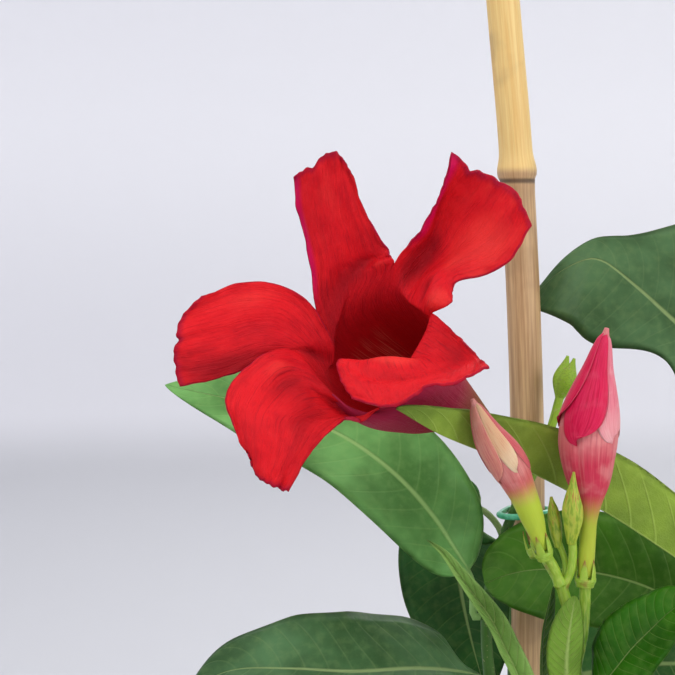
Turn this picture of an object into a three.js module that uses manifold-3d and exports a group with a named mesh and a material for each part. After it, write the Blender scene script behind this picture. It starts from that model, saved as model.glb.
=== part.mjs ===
// A climbing plant with red trumpet flowers, in a clay pot with a bamboo cane.
// Millimetres, +Z up. The origin is the middle of the pot's underside.
// The open flower looks towards -Y, and +X is to the right of it.
import * as THREE from "three";
import { mergeGeometries, mergeVertices } from "three/addons/utils/BufferGeometryUtils.js";
import Module from "manifold-3d";

const wasm = await Module();
wasm.setup();

// Driving dimensions

const POT = {
  height: 135,
  rimRadius: 76,
  rimHeight: 24,
  rimStep: 5,
  bodyRadius: 68,
  baseRadius: 50,
  wall: 5,
  rimWall: 3,
  floor: 7,
  edge: 2,
  drainRadius: 5,
  drainRing: 26,
  drains: 3,
};
const SOIL = { level: 118, edgeGap: 0.4, dome: 5, lump: 1.1, rings: [44, 28, 14] };
const CANE = {
  radius: 4.75,
  pith: 1.6,
  pithDepth: 14,
  nodeSwell: 0.9,
  nodeReach: 3.2,
  nodes: [92, 243, 393],
};
const LEAF_GAP = 0.45;
const HOLE_GAP = 0.6;
const PETAL_THICKNESS = 0.7;
const BLADE_THICKNESS = 0.8;
const PETIOLE_RADIUS = 1.1;
const BLADE_MARKS = [0.07, 0.17, 0.3, 0.45, 0.61, 0.77, 0.9, 1];
const BLADE_WAVES = 9;
const BLADE_ROUNDNESS = 1.28;
const FOOT_LENGTH = 1.65;
const LONG_STALK = 10;
const PAIR_LOOK = { fold: 12, wave: 1.2, belly: 0.42 };
const TIP_LEAF = { length: 13, spread: 2.8, radii: [0.9, 2.6, 0.4], flatness: 0.45 };
const CONE_RADII = [0.5, 0.4, 0.4, 0.9, 1.2, 0.9, 0.3];
const ARC_STEPS = 5;
const TIE = { wire: 0.9, gap: 0.35, points: 24, heights: [296, 176] };

// The cane leans a little to the left, and its foot stands in the soil.
const CANE_STEPS = 40;
const CANE_ROUTE = [
  [-3, 0, 42],
  [-4, 0, 150],
  [-5, 0, 258],
  [-6, 0, 328],
  [-9.5, 0, 397],
  [-13.5, 0, 441],
  [-20, 0, 520],
];

// The vines rise from the soil; two of them twine round the cane and one arches to the right.
const VINES = {
  vine_main: {
    route: [
      [12, -6, 92],
      [12, -6, 120],
      [7, -9, 140],
      [-3, -9.6, 166],
      [-10.5, -7, 184],
      [-13.5, -1.5, 203],
      [-14.5, -3, 232],
      [-17.5, -5.5, 262],
      [-16, -7.5, 280],
      [-10.5, -6.8, 296],
      [-4, -8.6, 310],
      [0, -8.5, 321],
      [3, -8.5, 332],
    ],
    foot: 2.6,
    tip: 1.2,
  },
  vine_back: {
    route: [
      [-12, 10, 92],
      [-12, 10, 120],
      [-12, 9.5, 150],
      [-10, 9, 190],
      [-8, 9.5, 225],
      [-8.5, 9, 255],
      [-7, 10, 280],
      [-4, 11, 296],
    ],
    foot: 2.4,
    tip: 1.2,
  },
  vine_right: {
    route: [
      [26, -8, 92],
      [26, -8, 120],
      [34, -14, 160],
      [46, -24, 205],
      [56, -32, 250],
      [61, -31, 285],
      [62, -16, 315],
      [60, -2, 338],
      [57, 5, 362],
    ],
    foot: 2.6,
    tip: 1.1,
  },
};

// The flowering shoot leaves the main vine and comes forward; its upper end carries the bunch of flowers.
const SHOOT = {
  foot: 1.9,
  tip: 1.5,
  axis: [
    [-11.5, -5.5, 212],
    [-8, -17, 222],
    [-3, -34, 234],
    [1, -46, 246],
    [2, -51, 257],
    [1, -54, 267],
    [0, -56, 276],
    [-2, -57, 283],
    [-3.5, -58, 288],
  ],
  stalks: {
    left_bud: { route: [[-3.5, -58, 287], [-5.5, -59.5, 292], [-8.3, -61, 296.2]], radius: 1.4 },
    right_bud: { route: [[1, -54, 266], [2.5, -55, 272], [3, -56, 280], [3, -57, 288.5]], radius: 1.6 },
    open_flower: { route: [[-3.5, -58, 287], [-5.5, -53, 290.5], [-8, -48.5, 294.5]], radius: 1.3 },
    green_bud: { route: [[-3, -57.5, 286], [-1, -58, 290], [-0.5, -59, 295], [-1, -60, 300]], radius: 1.2 },
    small_bud: { route: [[-3, -57, 285], [-2, -56.5, 292], [-4, -57, 298]], radius: 0.9 },
  },
};

// Each closed bud: the route of its middle from base to tip, and its width along the way.
const BUDS = {
  bud_right: {
    route: [
      [3, -57, 288.9],
      [3.5, -57.5, 301],
      [3.5, -58.5, 311.5],
      [3, -59.5, 324],
      [5, -61, 341],
      [7, -62, 352.5],
    ],
    widths: [3.8, 4.4, 4.4, 4.8, 7.5, 11.5, 14, 15.6, 15.4, 13.4, 10.4, 7, 4.4, 1.2],
    twist: 1.4,
    relief: 0.07,
  },
  bud_left: {
    route: [
      [-8.5, -61, 296.8],
      [-10, -62, 301.5],
      [-13.5, -64.5, 310.5],
      [-18, -66, 319.5],
      [-22.5, -67.5, 326],
      [-27, -70, 335.5],
    ],
    widths: [3.2, 4.6, 6, 6.8, 7.4, 8.6, 9.6, 9.4, 8.2, 6.2, 3.8, 1.1],
    twist: 1.4,
    relief: 0.06,
  },
};
const GREEN_BUDS = [
  {
    route: [[-1, -59.6, 298], [-1, -61.5, 303.5], [-1.5, -64, 309.5], [-1.5, -66.5, 317]],
    widths: [2.4, 3.8, 5, 5.2, 3.8, 2, 0.7],
  },
  {
    route: [[-4, -57, 296.5], [-5, -57.5, 303], [-6, -58, 309.5]],
    widths: [1.8, 3, 3.4, 2.6, 0.7],
  },
];
const CALYX = { sepals: 5, length: 6, width: 2.4, thickness: 0.6, cup: 2.2, flare: 0.5 };
// The radius that each calyx leaves free, and its sepals' outward lean in radians.
const CALYX_FITS = {
  left_bud: { inner: 1.8, lean: 0.12 },
  right_bud: { inner: 2.1, lean: 0.03 },
  open_flower: { inner: 2.5, lean: 0.1 },
};

// The open flower, from the mouth's middle: the tube's rings from the calyx up, then the mouth.
const MOUTH = [-48, -62, 348.5];
const FACING = [-0.53, -0.71, 0.475];
const FAR_SIDE = [-0.515, 0.714, 0.471];
const RINGS = [
  { middle: [39.8, 14.5, -52.5], radius: 2 },
  { middle: [37.5, 19, -42.5], radius: 2.1 },
  { middle: [33, 22, -32.5], radius: 2.6 },
  { middle: [22, 22, -20.5], radius: 5.3 },
  { middle: [9.5, 12.5, -13], radius: 11.5 },
  { middle: [-1.5, 1, -4.5], radius: 16.5 },
];
// The mouth is pressed in on its left: the middle of the dent and its spread in degrees, and its share.
const DENT = { middle: 292, spread: 36, share: 0.2 };
// Each lobe starts at this angle round the mouth, clockwise from its far side, in degrees.
const LOBE_STARTS = [-40, 42, 115, 185, 250];
// Each lobe's shape, as rows from the mouth out to its margin; each row runs clockwise.
const LOBES = {
  upper: [
    [[-13, 8, -5.5], [-12, 9, 4], [-8.5, 9, 13.5], [-3, 7, 17], [2, 3, 19.5]],
    [[-17.5, 8, 8], [-14.5, 8, 13], [-9.5, 8, 18], [-3.5, 7.5, 20.5], [1.5, 3.5, 21.5]],
    [[-19, 7, 20], [-15.5, 6, 21.5], [-11, 6, 22.5], [-5, 7, 23.5], [0, 4, 23.5]],
    [[-22, 6, 32.5], [-18, 4, 33.5], [-13.5, 3, 34.5], [-8.5, 3, 34.5], [-5.5, 4, 34]],
    [[-23, 3, 41.5], [-19, 1, 44.5], [-14, -1, 48], [-11, 0, 46.5], [-8.5, 1, 42.5]],
  ],
  upper_right: [
    [[2, 3, 19.5], [3.5, 3, 16], [5.5, 1, 11.5], [8.5, -6, 9.5], [11, -8, 8]],
    [[5.5, 1, 24.5], [7.5, 3, 21], [9.5, 3, 17], [10.5, -7, 15.5], [15.5, -11, 10.5]],
    [[9.5, -2, 30], [12, 2, 26], [15.5, 0, 22.5], [16.5, -5, 20], [17, -9, 15.5]],
    [[13, -6, 38], [15, 0, 33], [20.5, -2, 29], [26, -7, 25], [28, -11, 19]],
    [[15.5, -9, 47.5], [21.5, -8, 43.5], [27.5, -9, 40.5], [32, -11, 36.5], [34.5, -13, 29.5]],
  ],
  lower_right: [
    [[11, -8, 8], [9.5, -9, 3.5], [6, -9.5, -3], [2.5, -10, -9.5], [-1.5, -8.5, -15]],
    [[14.5, -11, 5.5], [13, -13, 1.5], [8.5, -14, -3], [-2, -12, -4], [-9.5, -9, -3.5]],
    [[18, -18, 2], [17.5, -20, -1.5], [10.5, -22, -5], [-2, -19, -6.5], [-12.5, -12, -4]],
    [[21, -25, -1], [19, -28, -3], [11, -28, -6], [-1, -25, -9], [-11, -17, -8]],
    [[23, -32, -3], [17, -34, -6], [9.5, -34, -7.5], [0.5, -31, -12.5], [-8.5, -22, -11.5]],
  ],
  lower_left: [
    [[-1.5, -8.5, -15], [-7, -5, -17.5], [-13, -3, -14.5], [-17.5, -3, -8.5], [-21, 2, -3]],
    [[-5.5, -9, -18], [-12, -6.5, -17.5], [-18.5, -5.5, -13.5], [-25.5, -4, -6.5], [-30.5, -3, -2.5]],
    [[-9.5, -8, -17.5], [-17.5, -10, -18.5], [-25.5, -12, -17], [-33, -11, -14], [-39, -9, -10.5]],
    [[-18, -12, -25], [-22, -14, -24.5], [-27, -15, -24], [-33, -14, -22], [-37.5, -12, -18.5]],
    [[-24, -16, -34.5], [-26.5, -16, -34], [-29.5, -16, -32.5], [-32, -15, -30], [-33.5, -14, -25.5]],
  ],
  left: [
    [[-21, 2, -3], [-19, 3.5, -3.5], [-17, 5, -4], [-15, 6.5, -5], [-13, 8, -5.5]],
    [[-25.5, 1.5, -2.5], [-23.5, 2.5, -0.5], [-20.5, 3.5, 0.5], [-17, 4.5, 1], [-13.5, 5.5, 1]],
    [[-30.5, 1, -4.5], [-30.5, 1, 0.5], [-28.5, 3, 5.5], [-25.5, 5, 9.5], [-20.5, 5, 11.5]],
    [[-40.5, 0, -8.5], [-41.5, 0, -2.5], [-40.5, 2, 3.5], [-38.5, 4, 10], [-33.5, 6, 15.5]],
    [[-51.5, -3, -10.5], [-53, -1, -4.5], [-53, 0, 0.5], [-51, 1, 6.5], [-46.5, 3, 11.5]],
  ],
};
const LOBE_COLUMNS = 6;
const STEPS_PER_ROW = 2;

// The leaves that are shaped one by one: what each grows on, the midrib from the stem to the tip, the
// stalk's length, the width, the way that the upper face looks, the fold along the midrib in degrees,
// the margin's wave, and the place of the widest part from 0 at the base to 1 at the tip. On a lopsided leaf
// the upper half is wider near the base and narrower near the tip by a share, and a steady leaf's blade
// lies across the line from its base to its tip, and not across its bent midrib, by a share.
const SHAPED_LEAVES = {
  leaf_crossing: {
    on: "vine_right",
    midrib: [
      [57, -33, 264], [46, -38, 279.5], [28, -41, 292], [10.5, -44.5, 303.5],
      [-7, -51, 313.5], [-22.5, -58.5, 321], [-34.5, -69, 327], [-46, -81, 334.5],
    ],
    stalk: 14,
    width: 29.5,
    up: [0.24, 0.28, 0.93],
    fold: 68,
    wave: 0.5,
    belly: 0.42,
  },
  leaf_upper_right: {
    on: "vine_right",
    midrib: [
      [61, -8, 328], [55, -3.5, 334], [47, 1, 341.5], [37, 4, 350],
      [29, 6, 357.5], [24.5, 7.5, 361.5], [21, 8.5, 364.5], [17.5, 9.5, 367],
      [14, 10, 368], [10, 10.5, 367], [4.5, 11, 364], [-1, 11.5, 359], [-5, 11.5, 355],
    ],
    stalk: 16,
    width: 46,
    up: [0.05, -0.92, 0.38],
    fold: -4,
    wave: 0.3,
    belly: 0.26,
    lopsided: 0.5,
    steady: 0.85,
  },
  leaf_left_large: {
    on: "vine_main",
    midrib: [
      [-17, -6, 267], [-22, -8.5, 277], [-25.5, -9, 284], [-33, -10, 296],
      [-44.5, -9, 308.5], [-60.5, -4, 319], [-85.5, 6, 326], [-110.5, 12, 331],
    ],
    stalk: 16,
    width: 35.5,
    up: [0.15, -0.8, 0.6],
    fold: 10,
    wave: 0.8,
    belly: 0.36,
  },
  leaf_bottom_left: {
    on: "vine_main",
    midrib: [
      [-15.5, -4.5, 244], [-20, -18, 252], [-25, -27, 256], [-38, -36, 259.5],
      [-56, -41, 260], [-73, -40, 260.5], [-88, -36, 259], [-100, -32, 253],
    ],
    stalk: 12,
    width: 37,
    up: [0, -0.55, 0.83],
    fold: 12,
    wave: 1,
    belly: 0.45,
  },
  leaf_hanging: {
    on: "vine_back",
    midrib: [
      [-7, 10, 278], [-12, 16, 288], [-17.5, 21, 293], [-21.5, 25, 291.5],
      [-23.5, 28, 283], [-22.5, 30, 268], [-19, 31, 251], [-14, 32, 233],
    ],
    stalk: 22,
    width: 37,
    up: [-0.3, -0.9, 0.2],
    fold: 10,
    wave: 0.5,
    belly: 0.38,
  },
  leaf_behind_bunch: {
    on: "vine_right",
    midrib: [
      [56, -32, 250], [51, -29.5, 261], [45, -27.5, 268], [34.5, -25, 274],
      [24.5, -23.5, 279], [13.5, -22, 282], [3, -20.5, 283], [-6.5, -18.5, 282.5],
      [-14, -17, 280.5], [-19, -16, 278],
    ],
    stalk: 14,
    width: 35,
    up: [-0.1, -0.8, 0.6],
    fold: 10,
    wave: 0.8,
    belly: 0.6,
  },
  leaf_right_glossy: {
    on: "flower_shoot",
    midrib: [
      [2, -51, 257], [6, -54.5, 258.5], [9.5, -57.5, 263.5], [14.5, -60, 271],
      [19, -62, 276.5], [24, -64, 282], [30, -66.5, 286.5],
    ],
    stalk: 5,
    width: 19.5,
    up: [-0.4, -0.75, 0.5],
    fold: 12,
    wave: 0.8,
    belly: 0.45,
  },
  leaf_young_front: {
    on: "flower_shoot",
    midrib: [
      [2, -51, 257], [0.5, -57.5, 258.5], [-2, -61, 264], [-2, -63.5, 275],
      [-0.6, -64, 285.5],
    ],
    stalk: 4,
    width: 10.5,
    up: [-0.1, 0.9, 0.4],
    fold: 24,
    wave: 0.3,
    belly: 0.5,
  },
  leaf_young_side: {
    on: "flower_shoot",
    midrib: [
      [1, -46, 246], [-4, -48.5, 250], [-6.8, -52, 259], [-7.2, -54.5, 273],
      [-5, -55.5, 286],
    ],
    stalk: 4,
    width: 8,
    up: [0.8, -0.5, 0.3],
    fold: 20,
    wave: 0.2,
    belly: 0.5,
  },
  leaf_folded: {
    on: "flower_shoot",
    midrib: [
      [-0.5, -43, 241.5], [-7, -49, 246], [-11.5, -54, 255], [-14, -57.5, 263.5],
      [-18, -60, 272], [-21, -62, 278.5], [-25, -64, 284.5], [-30, -66, 291.5],
      [-34, -67, 297], [-38, -68, 300.5],
    ],
    stalk: 6,
    width: 11,
    up: [0.22, -0.97, 0.13],
    fold: 58,
    wave: 0.3,
    belly: 0.4,
  },
};

// The other leaves, by the height of their node. turn is the first leaf's heading, rise its first slope and
// droop how far it bends down, in degrees. sides are the headings of the node's leaves from the first one,
// and roll is how far a leaf is turned about its midrib towards the front.
const LEAF_PAIRS = [
  { on: "vine_main", height: 152, turn: -112, length: 84, width: 38, rise: 30, droop: 60, sides: [0] },
  { on: "vine_main", height: 188, turn: 196, length: 82, width: 38, rise: 22, droop: 52, sides: [0] },
  { on: "vine_main", height: 216, turn: 236, length: 78, width: 36, rise: 4, droop: 44, sides: [0] },
  { on: "vine_back", height: 150, turn: 120, length: 86, width: 40, rise: 26, droop: 60, sides: [0, 90] },
  { on: "vine_back", height: 184, turn: 80, length: 84, width: 38, rise: 26, droop: 55, sides: [0] },
  { on: "vine_back", height: 240, turn: 6, length: 84, width: 40, rise: 22, droop: 44, sides: [0], roll: 55 },
  { on: "vine_right", height: 150, turn: -60, length: 80, width: 36, rise: 26, droop: 60, sides: [0, 110] },
  { on: "vine_right", height: 192, turn: 0, length: 82, width: 36, rise: 22, droop: 56, sides: [0] },
  { on: "vine_right", height: 228, turn: -75, length: 80, width: 36, rise: 10, droop: 50, sides: [0] },
  { on: "vine_right", height: 266, turn: -40, length: 78, width: 34, rise: 24, droop: 50, sides: [0, 90] },
  { on: "vine_right", height: 310, turn: 0, length: 74, width: 34, rise: 30, droop: 46, sides: [0, 90] },
  { on: "vine_right", height: 342, turn: 20, length: 72, width: 34, rise: 36, droop: 46, sides: [0] },
  { on: "vine_right", height: 356, turn: 16, length: 44, width: 18, rise: 50, droop: 30, sides: [0, -95] },
];

const COLOURS = {
  clay: [0xb5673f, 0.9],
  soil: [0x33251b, 1],
  cane: [0xd0a468, 0.5],
  tie: [0x3aa877, 0.35],
  stem: [0x6f7d3a, 0.6],
  shoot: [0x93b04a, 0.5],
  leaf: [0x3f7a33, 0.4],
  young: [0x86a93f, 0.4],
  petal: [0xd81e28, 0.55],
  bud: [0xc83052, 0.5],
  budPale: [0xd0786a, 0.5],
  cone: [0xe8dc9a, 0.6],
};

// Small helpers

const UP = new THREE.Vector3(0, 0, 1);
const vector = (p) => new THREE.Vector3(...p);
const radians = THREE.MathUtils.degToRad;
const mixed = (a, b, t) => a.clone().lerp(b, t);
const curveThrough = (points, closed = false) => new THREE.CatmullRomCurve3(points, closed, "centripetal");

function smooth(low, high, x) {
  const t = Math.min(1, Math.max(0, (x - low) / (high - low)));
  return t * t * (3 - 2 * t);
}

// One number of a smooth curve from b to c, with a before them and d behind.
function catmull(a, b, c, d, t) {
  const slope0 = (c - a) / 2;
  const slope1 = (d - b) / 2;
  const square = 3 * (c - b) - 2 * slope0 - slope1;
  const cube = 2 * (b - c) + slope0 + slope1;
  return b + slope0 * t + square * t * t + cube * t * t * t;
}

function catmullPoint(a, b, c, d, t) {
  const axis = (name) => catmull(a[name], b[name], c[name], d[name], t);
  return new THREE.Vector3(axis("x"), axis("y"), axis("z"));
}

// A value between a list's entries, at t from 0 to 1, on a smooth curve.
function along(list, t) {
  const place = Math.min(list.length - 1, Math.max(0, t * (list.length - 1)));
  const i = Math.min(list.length - 2, Math.floor(place));
  const at = (k) => list[Math.min(list.length - 1, Math.max(0, k))];
  return catmull(at(i - 1), at(i), at(i + 1), at(i + 2), place - i);
}

// Only positions, with the shared corners merged.
function bare(geometry) {
  const copy = geometry.clone();
  copy.deleteAttribute("normal");
  copy.deleteAttribute("uv");
  return mergeVertices(copy, 1e-4);
}

function solidOf(geometry) {
  const merged = bare(geometry);
  const mesh = new wasm.Mesh({
    numProp: 3,
    vertProperties: new Float32Array(merged.attributes.position.array),
    triVerts: new Uint32Array(merged.index.array),
  });
  return new wasm.Manifold(mesh);
}

function geometryOf(solid) {
  const mesh = solid.getMesh();
  const geometry = new THREE.BufferGeometry();
  geometry.setAttribute("position", new THREE.BufferAttribute(new Float32Array(mesh.vertProperties), 3));
  geometry.setIndex(new THREE.BufferAttribute(new Uint32Array(mesh.triVerts), 1));
  return geometry;
}

function fuse(geometries) {
  return geometryOf(geometries.map(solidOf).reduce((a, b) => a.add(b)));
}

function cut(geometry, tools) {
  return geometryOf(tools.map(solidOf).reduce((a, b) => a.subtract(b), solidOf(geometry)));
}

// A closed round bar along a route; radiusAt takes the place along it, 0 to 1, and the angle round it.
function bar(route, radiusAt, sides, steps) {
  const curve = curveThrough(route);
  const frames = curve.computeFrenetFrames(steps);
  const geometry = new THREE.CylinderGeometry(1, 1, 1, sides, steps);
  const position = geometry.attributes.position;
  for (let i = 0; i < position.count; i += 1) {
    const step = Math.round((position.getY(i) + 0.5) * steps);
    const across = position.getX(i);
    const aside = -position.getZ(i);
    const angle = Math.atan2(aside, across);
    const radius = Math.hypot(across, aside) < 0.5 ? 0 : radiusAt(step / steps, angle);
    const place = curve
      .getPointAt(step / steps)
      .addScaledVector(frames.normals[step], radius * Math.cos(angle))
      .addScaledVector(frames.binormals[step], radius * Math.sin(angle));
    position.setXYZ(i, place.x, place.y, place.z);
  }
  return bare(geometry);
}

// Gives an open surface a thickness; halfAt takes a corner's number and gives half of it there.
function thicken(surface, halfAt) {
  surface.computeVertexNormals();
  const { position, normal } = surface.attributes;
  const faces = surface.index.array;
  const count = position.count;
  const places = new Float32Array(count * 6);
  for (let i = 0; i < count; i += 1) {
    const middle = new THREE.Vector3().fromBufferAttribute(position, i);
    const out = new THREE.Vector3().fromBufferAttribute(normal, i);
    middle.clone().addScaledVector(out, halfAt(i)).toArray(places, i * 3);
    middle.clone().addScaledVector(out, -halfAt(i)).toArray(places, (count + i) * 3);
  }
  const triangles = [];
  const edges = new Map();
  for (let f = 0; f < faces.length; f += 3) {
    const [a, b, c] = faces.slice(f, f + 3);
    triangles.push(a, b, c, count + c, count + b, count + a);
    for (const [from, to] of [[a, b], [b, c], [c, a]]) {
      if (!edges.delete(`${to} ${from}`)) {
        edges.set(`${from} ${to}`, [from, to]);
      }
    }
  }
  for (const [from, to] of edges.values()) {
    triangles.push(to, from, count + from, to, count + from, count + to);
  }
  const solid = new THREE.BufferGeometry();
  solid.setAttribute("position", new THREE.BufferAttribute(places, 3));
  solid.setIndex(triangles);
  return solid;
}

const group = new THREE.Group();

function add(name, geometry, colour) {
  const [tint, roughness] = COLOURS[colour];
  const material = new THREE.MeshStandardMaterial({ color: tint, roughness, metalness: 0 });
  const mesh = new THREE.Mesh(geometry, material);
  mesh.name = name;
  group.add(mesh);
}

// Pot and soil

const RIM_FOOT = POT.height - POT.rimHeight;
const SHOULDER = RIM_FOOT - 4;
const RIM_INSIDE = POT.rimRadius - POT.rimStep - POT.rimWall;

const bodyRadiusAt = (z) => POT.baseRadius + ((POT.bodyRadius - POT.baseRadius) * z) / RIM_FOOT;
const shoulderInside = bodyRadiusAt(RIM_FOOT) - POT.wall;

function lathe(outline, sides) {
  const profile = outline.map(([radius, z]) => new THREE.Vector2(radius, z));
  return new THREE.LatheGeometry(profile, sides).rotateX(Math.PI / 2);
}

function potSolid() {
  const { edge } = POT;
  const innerFoot = bodyRadiusAt(POT.floor) - POT.wall;
  const body = lathe(
    [
      [0, 0],
      [POT.baseRadius - edge, 0],
      [POT.baseRadius, edge],
      [POT.bodyRadius, RIM_FOOT],
      [POT.rimRadius - edge, RIM_FOOT],
      [POT.rimRadius, RIM_FOOT + edge],
      [POT.rimRadius + edge / 2, POT.height - edge],
      [POT.rimRadius - edge / 2, POT.height],
      [RIM_INSIDE + edge, POT.height],
      [RIM_INSIDE, POT.height - edge],
      [shoulderInside, SHOULDER],
      [innerFoot, POT.floor + edge],
      [innerFoot - edge, POT.floor],
      [0, POT.floor],
    ],
    36,
  );
  const holes = [];
  for (let i = 0; i < POT.drains; i += 1) {
    const angle = (i / POT.drains) * 2 * Math.PI;
    const hole = new THREE.CylinderGeometry(POT.drainRadius, POT.drainRadius, POT.floor * 4, 12);
    hole.rotateX(Math.PI / 2);
    holes.push(hole.translate(POT.drainRing * Math.cos(angle), -POT.drainRing * Math.sin(angle), 0));
  }
  return cut(body, holes);
}

// The soil's radius at a height: it fills the pot, clear of its wall.
function soilRadiusAt(z) {
  if (z < SHOULDER) {
    return bodyRadiusAt(z) - POT.wall - SOIL.edgeGap * 2;
  }
  const share = (z - SHOULDER) / (POT.height - POT.edge - SHOULDER);
  return shoulderInside + (RIM_INSIDE - shoulderInside) * share - SOIL.edgeGap * 1.5;
}

// Low lumps of peat, from a few waves that never line up.
function lumpAt(x, y) {
  const swing = Math.sin(x * 0.21 + 1.3 * Math.sin(y * 0.17));
  return SOIL.lump * swing * Math.cos(y * 0.24 + 0.9 * Math.sin(x * 0.13));
}

function soilSolid(standing) {
  const foot = POT.floor + SOIL.edgeGap;
  const soil = lathe(
    [
      [0, foot],
      [soilRadiusAt(foot) - POT.wall, foot],
      [soilRadiusAt(foot + POT.wall), foot + POT.wall],
      [soilRadiusAt(SHOULDER / 2), SHOULDER / 2],
      [soilRadiusAt(SHOULDER), SHOULDER],
      [soilRadiusAt(SOIL.level - 1), SOIL.level - 1],
      [soilRadiusAt(SOIL.level) - POT.wall, SOIL.level],
      ...SOIL.rings.map((radius) => [radius, SOIL.level]),
      [0, SOIL.level],
    ],
    26,
  );
  const position = soil.attributes.position;
  for (let i = 0; i < position.count; i += 1) {
    const x = position.getX(i);
    const y = position.getY(i);
    const reach = 1 - Math.hypot(x, y) / soilRadiusAt(SOIL.level);
    if (position.getZ(i) > SOIL.level - 0.5) {
      const dome = smooth(0, 1, reach) * SOIL.dome;
      position.setZ(i, SOIL.level + dome + lumpAt(x, y) * smooth(0, 0.2, reach));
    }
  }
  return cut(soil, standing);
}

// Cane and vines

const caneCurve = curveThrough(CANE_ROUTE.map(vector));

function caneRadiusAt(z) {
  const swells = CANE.nodes.map((node) => Math.exp(-(((z - node) / CANE.nodeReach) ** 2)));
  return CANE.radius + CANE.nodeSwell * swells.reduce((a, b) => a + b);
}

function caneSolid() {
  const foot = CANE_ROUTE[0][2];
  const head = CANE_ROUTE[CANE_ROUTE.length - 1];
  const cane = bar(CANE_ROUTE.map(vector), (t) => caneRadiusAt(foot + (head[2] - foot) * t), 12, CANE_STEPS);
  const pith = new THREE.CylinderGeometry(CANE.pith, CANE.pith, CANE.pithDepth * 2, 10);
  return cut(cane, [pith.rotateX(Math.PI / 2).translate(...head)]);
}

const vineRadius = (vine) => (t) => vine.foot + (vine.tip - vine.foot) * t;
const shootRadius = (t) => SHOOT.foot + (SHOOT.tip - SHOOT.foot) * t;

// What carries leaves: its middle line and its radius along it.
const CARRIERS = {};
for (const [name, vine] of Object.entries(VINES)) {
  CARRIERS[name] = { curve: curveThrough(vine.route.map(vector)), radiusAt: vineRadius(vine) };
}
const shootAxis = shootRoute();
CARRIERS.flower_shoot = { curve: curveThrough(shootAxis), radiusAt: shootRadius };

// The first point of a middle line, from its foot, that is as high as z.
function pointAtHeight(curve, z) {
  const samples = 400;
  for (let i = 0; i < samples; i += 1) {
    const place = curve.getPointAt(i / samples);
    if (place.z >= z) {
      return place;
    }
  }
  return curve.getPointAt(1);
}

// Where something leaves a stem towards a point: a place clear of the stem, and one a little further out.
function seat(on, hint, towards) {
  const { curve, radiusAt } = CARRIERS[on];
  const samples = 300;
  let nearest = 0;
  for (let i = 1; i <= samples; i += 1) {
    if (curve.getPointAt(i / samples).distanceTo(hint) < curve.getPointAt(nearest).distanceTo(hint)) {
      nearest = i / samples;
    }
  }
  const middle = curve.getPointAt(nearest);
  const tangent = curve.getTangentAt(nearest);
  const out = towards.clone().sub(middle);
  out.addScaledVector(tangent, -out.dot(tangent)).normalize();
  const clear = radiusAt(nearest) + LEAF_GAP;
  return [clear, clear + FOOT_LENGTH].map((reach) => middle.clone().addScaledVector(out, reach));
}

// A growing tip: two small leaves pressed together at a vine's end.
function tipLeaves(name) {
  const { curve } = CARRIERS[name];
  const end = curve.getPointAt(0.985);
  const heading = curve.getTangentAt(1);
  const aside = new THREE.Vector3(1, 0.2, 0).cross(heading).normalize();
  const flatAt = (angle) => 1 - TIP_LEAF.flatness * Math.abs(Math.sin(angle));
  const radiusAt = (t, angle) => along(TIP_LEAF.radii, t) * flatAt(angle);
  return [-1, 1].map((side) => {
    const [middle, tip] = [0.5, 1].map((share) =>
      end
        .clone()
        .addScaledVector(heading, TIP_LEAF.length * share)
        .addScaledVector(aside, side * TIP_LEAF.spread * (0.6 + 0.4 * share)),
    );
    return bar([end, middle, tip], radiusAt, 6, 5);
  });
}

function vineSolid(name) {
  const vine = VINES[name];
  return fuse([bar(vine.route.map(vector), vineRadius(vine), 7, 34), ...tipLeaves(name)]);
}

// Flowering shoot and buds

// The shoot's middle line; its foot stands clear of the vine that it grows from.
function shootRoute() {
  const route = SHOOT.axis.map(vector);
  return [...seat("vine_main", route[0], route[1]), ...route.slice(1)];
}

// The calyx: a small cup with pointed sepals standing round the base of a tube.
function calyxPieces(base, towards, { inner, lean }) {
  const axis = towards.clone().sub(base).normalize();
  const turn = new THREE.Quaternion().setFromUnitVectors(new THREE.Vector3(0, 1, 0), axis);
  const foot = base.clone().addScaledVector(axis, -CALYX.cup);
  const pieces = [bar([foot, base], (t) => inner + 0.2 + CALYX.flare * smooth(0, 0.8, t), 8, 2)];
  for (let i = 0; i < CALYX.sepals; i += 1) {
    const sepal = new THREE.ConeGeometry(CALYX.width / 2, CALYX.length, 4, 1);
    sepal.scale(1, 1, CALYX.thickness / CALYX.width);
    const out = inner + CALYX.flare * 0.86 + (CALYX.length / 2) * Math.sin(lean);
    sepal.rotateX(lean).translate(0, CALYX.length / 2 - CALYX.thickness, out);
    sepal.rotateY((i / CALYX.sepals) * 2 * Math.PI).applyQuaternion(turn);
    pieces.push(bare(sepal.translate(...base.toArray())));
  }
  return pieces;
}

function shootSolid() {
  const pieces = [bar(shootAxis, shootRadius, 7, 18)];
  for (const stalk of Object.values(SHOOT.stalks)) {
    pieces.push(bar(stalk.route.map(vector), () => stalk.radius, 6, 6));
  }
  for (const bud of GREEN_BUDS) {
    pieces.push(bar(bud.route.map(vector), (t) => along(bud.widths, t) / 2, 7, 8));
  }
  const towards = {
    left_bud: vector(BUDS.bud_left.route[1]),
    right_bud: vector(BUDS.bud_right.route[1]),
    open_flower: vector(RINGS[1].middle).add(vector(MOUTH)),
  };
  for (const [name, fit] of Object.entries(CALYX_FITS)) {
    const { route } = SHOOT.stalks[name];
    pieces.push(...calyxPieces(vector(route[route.length - 1]), towards[name], fit));
  }
  return fuse(pieces);
}

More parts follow.
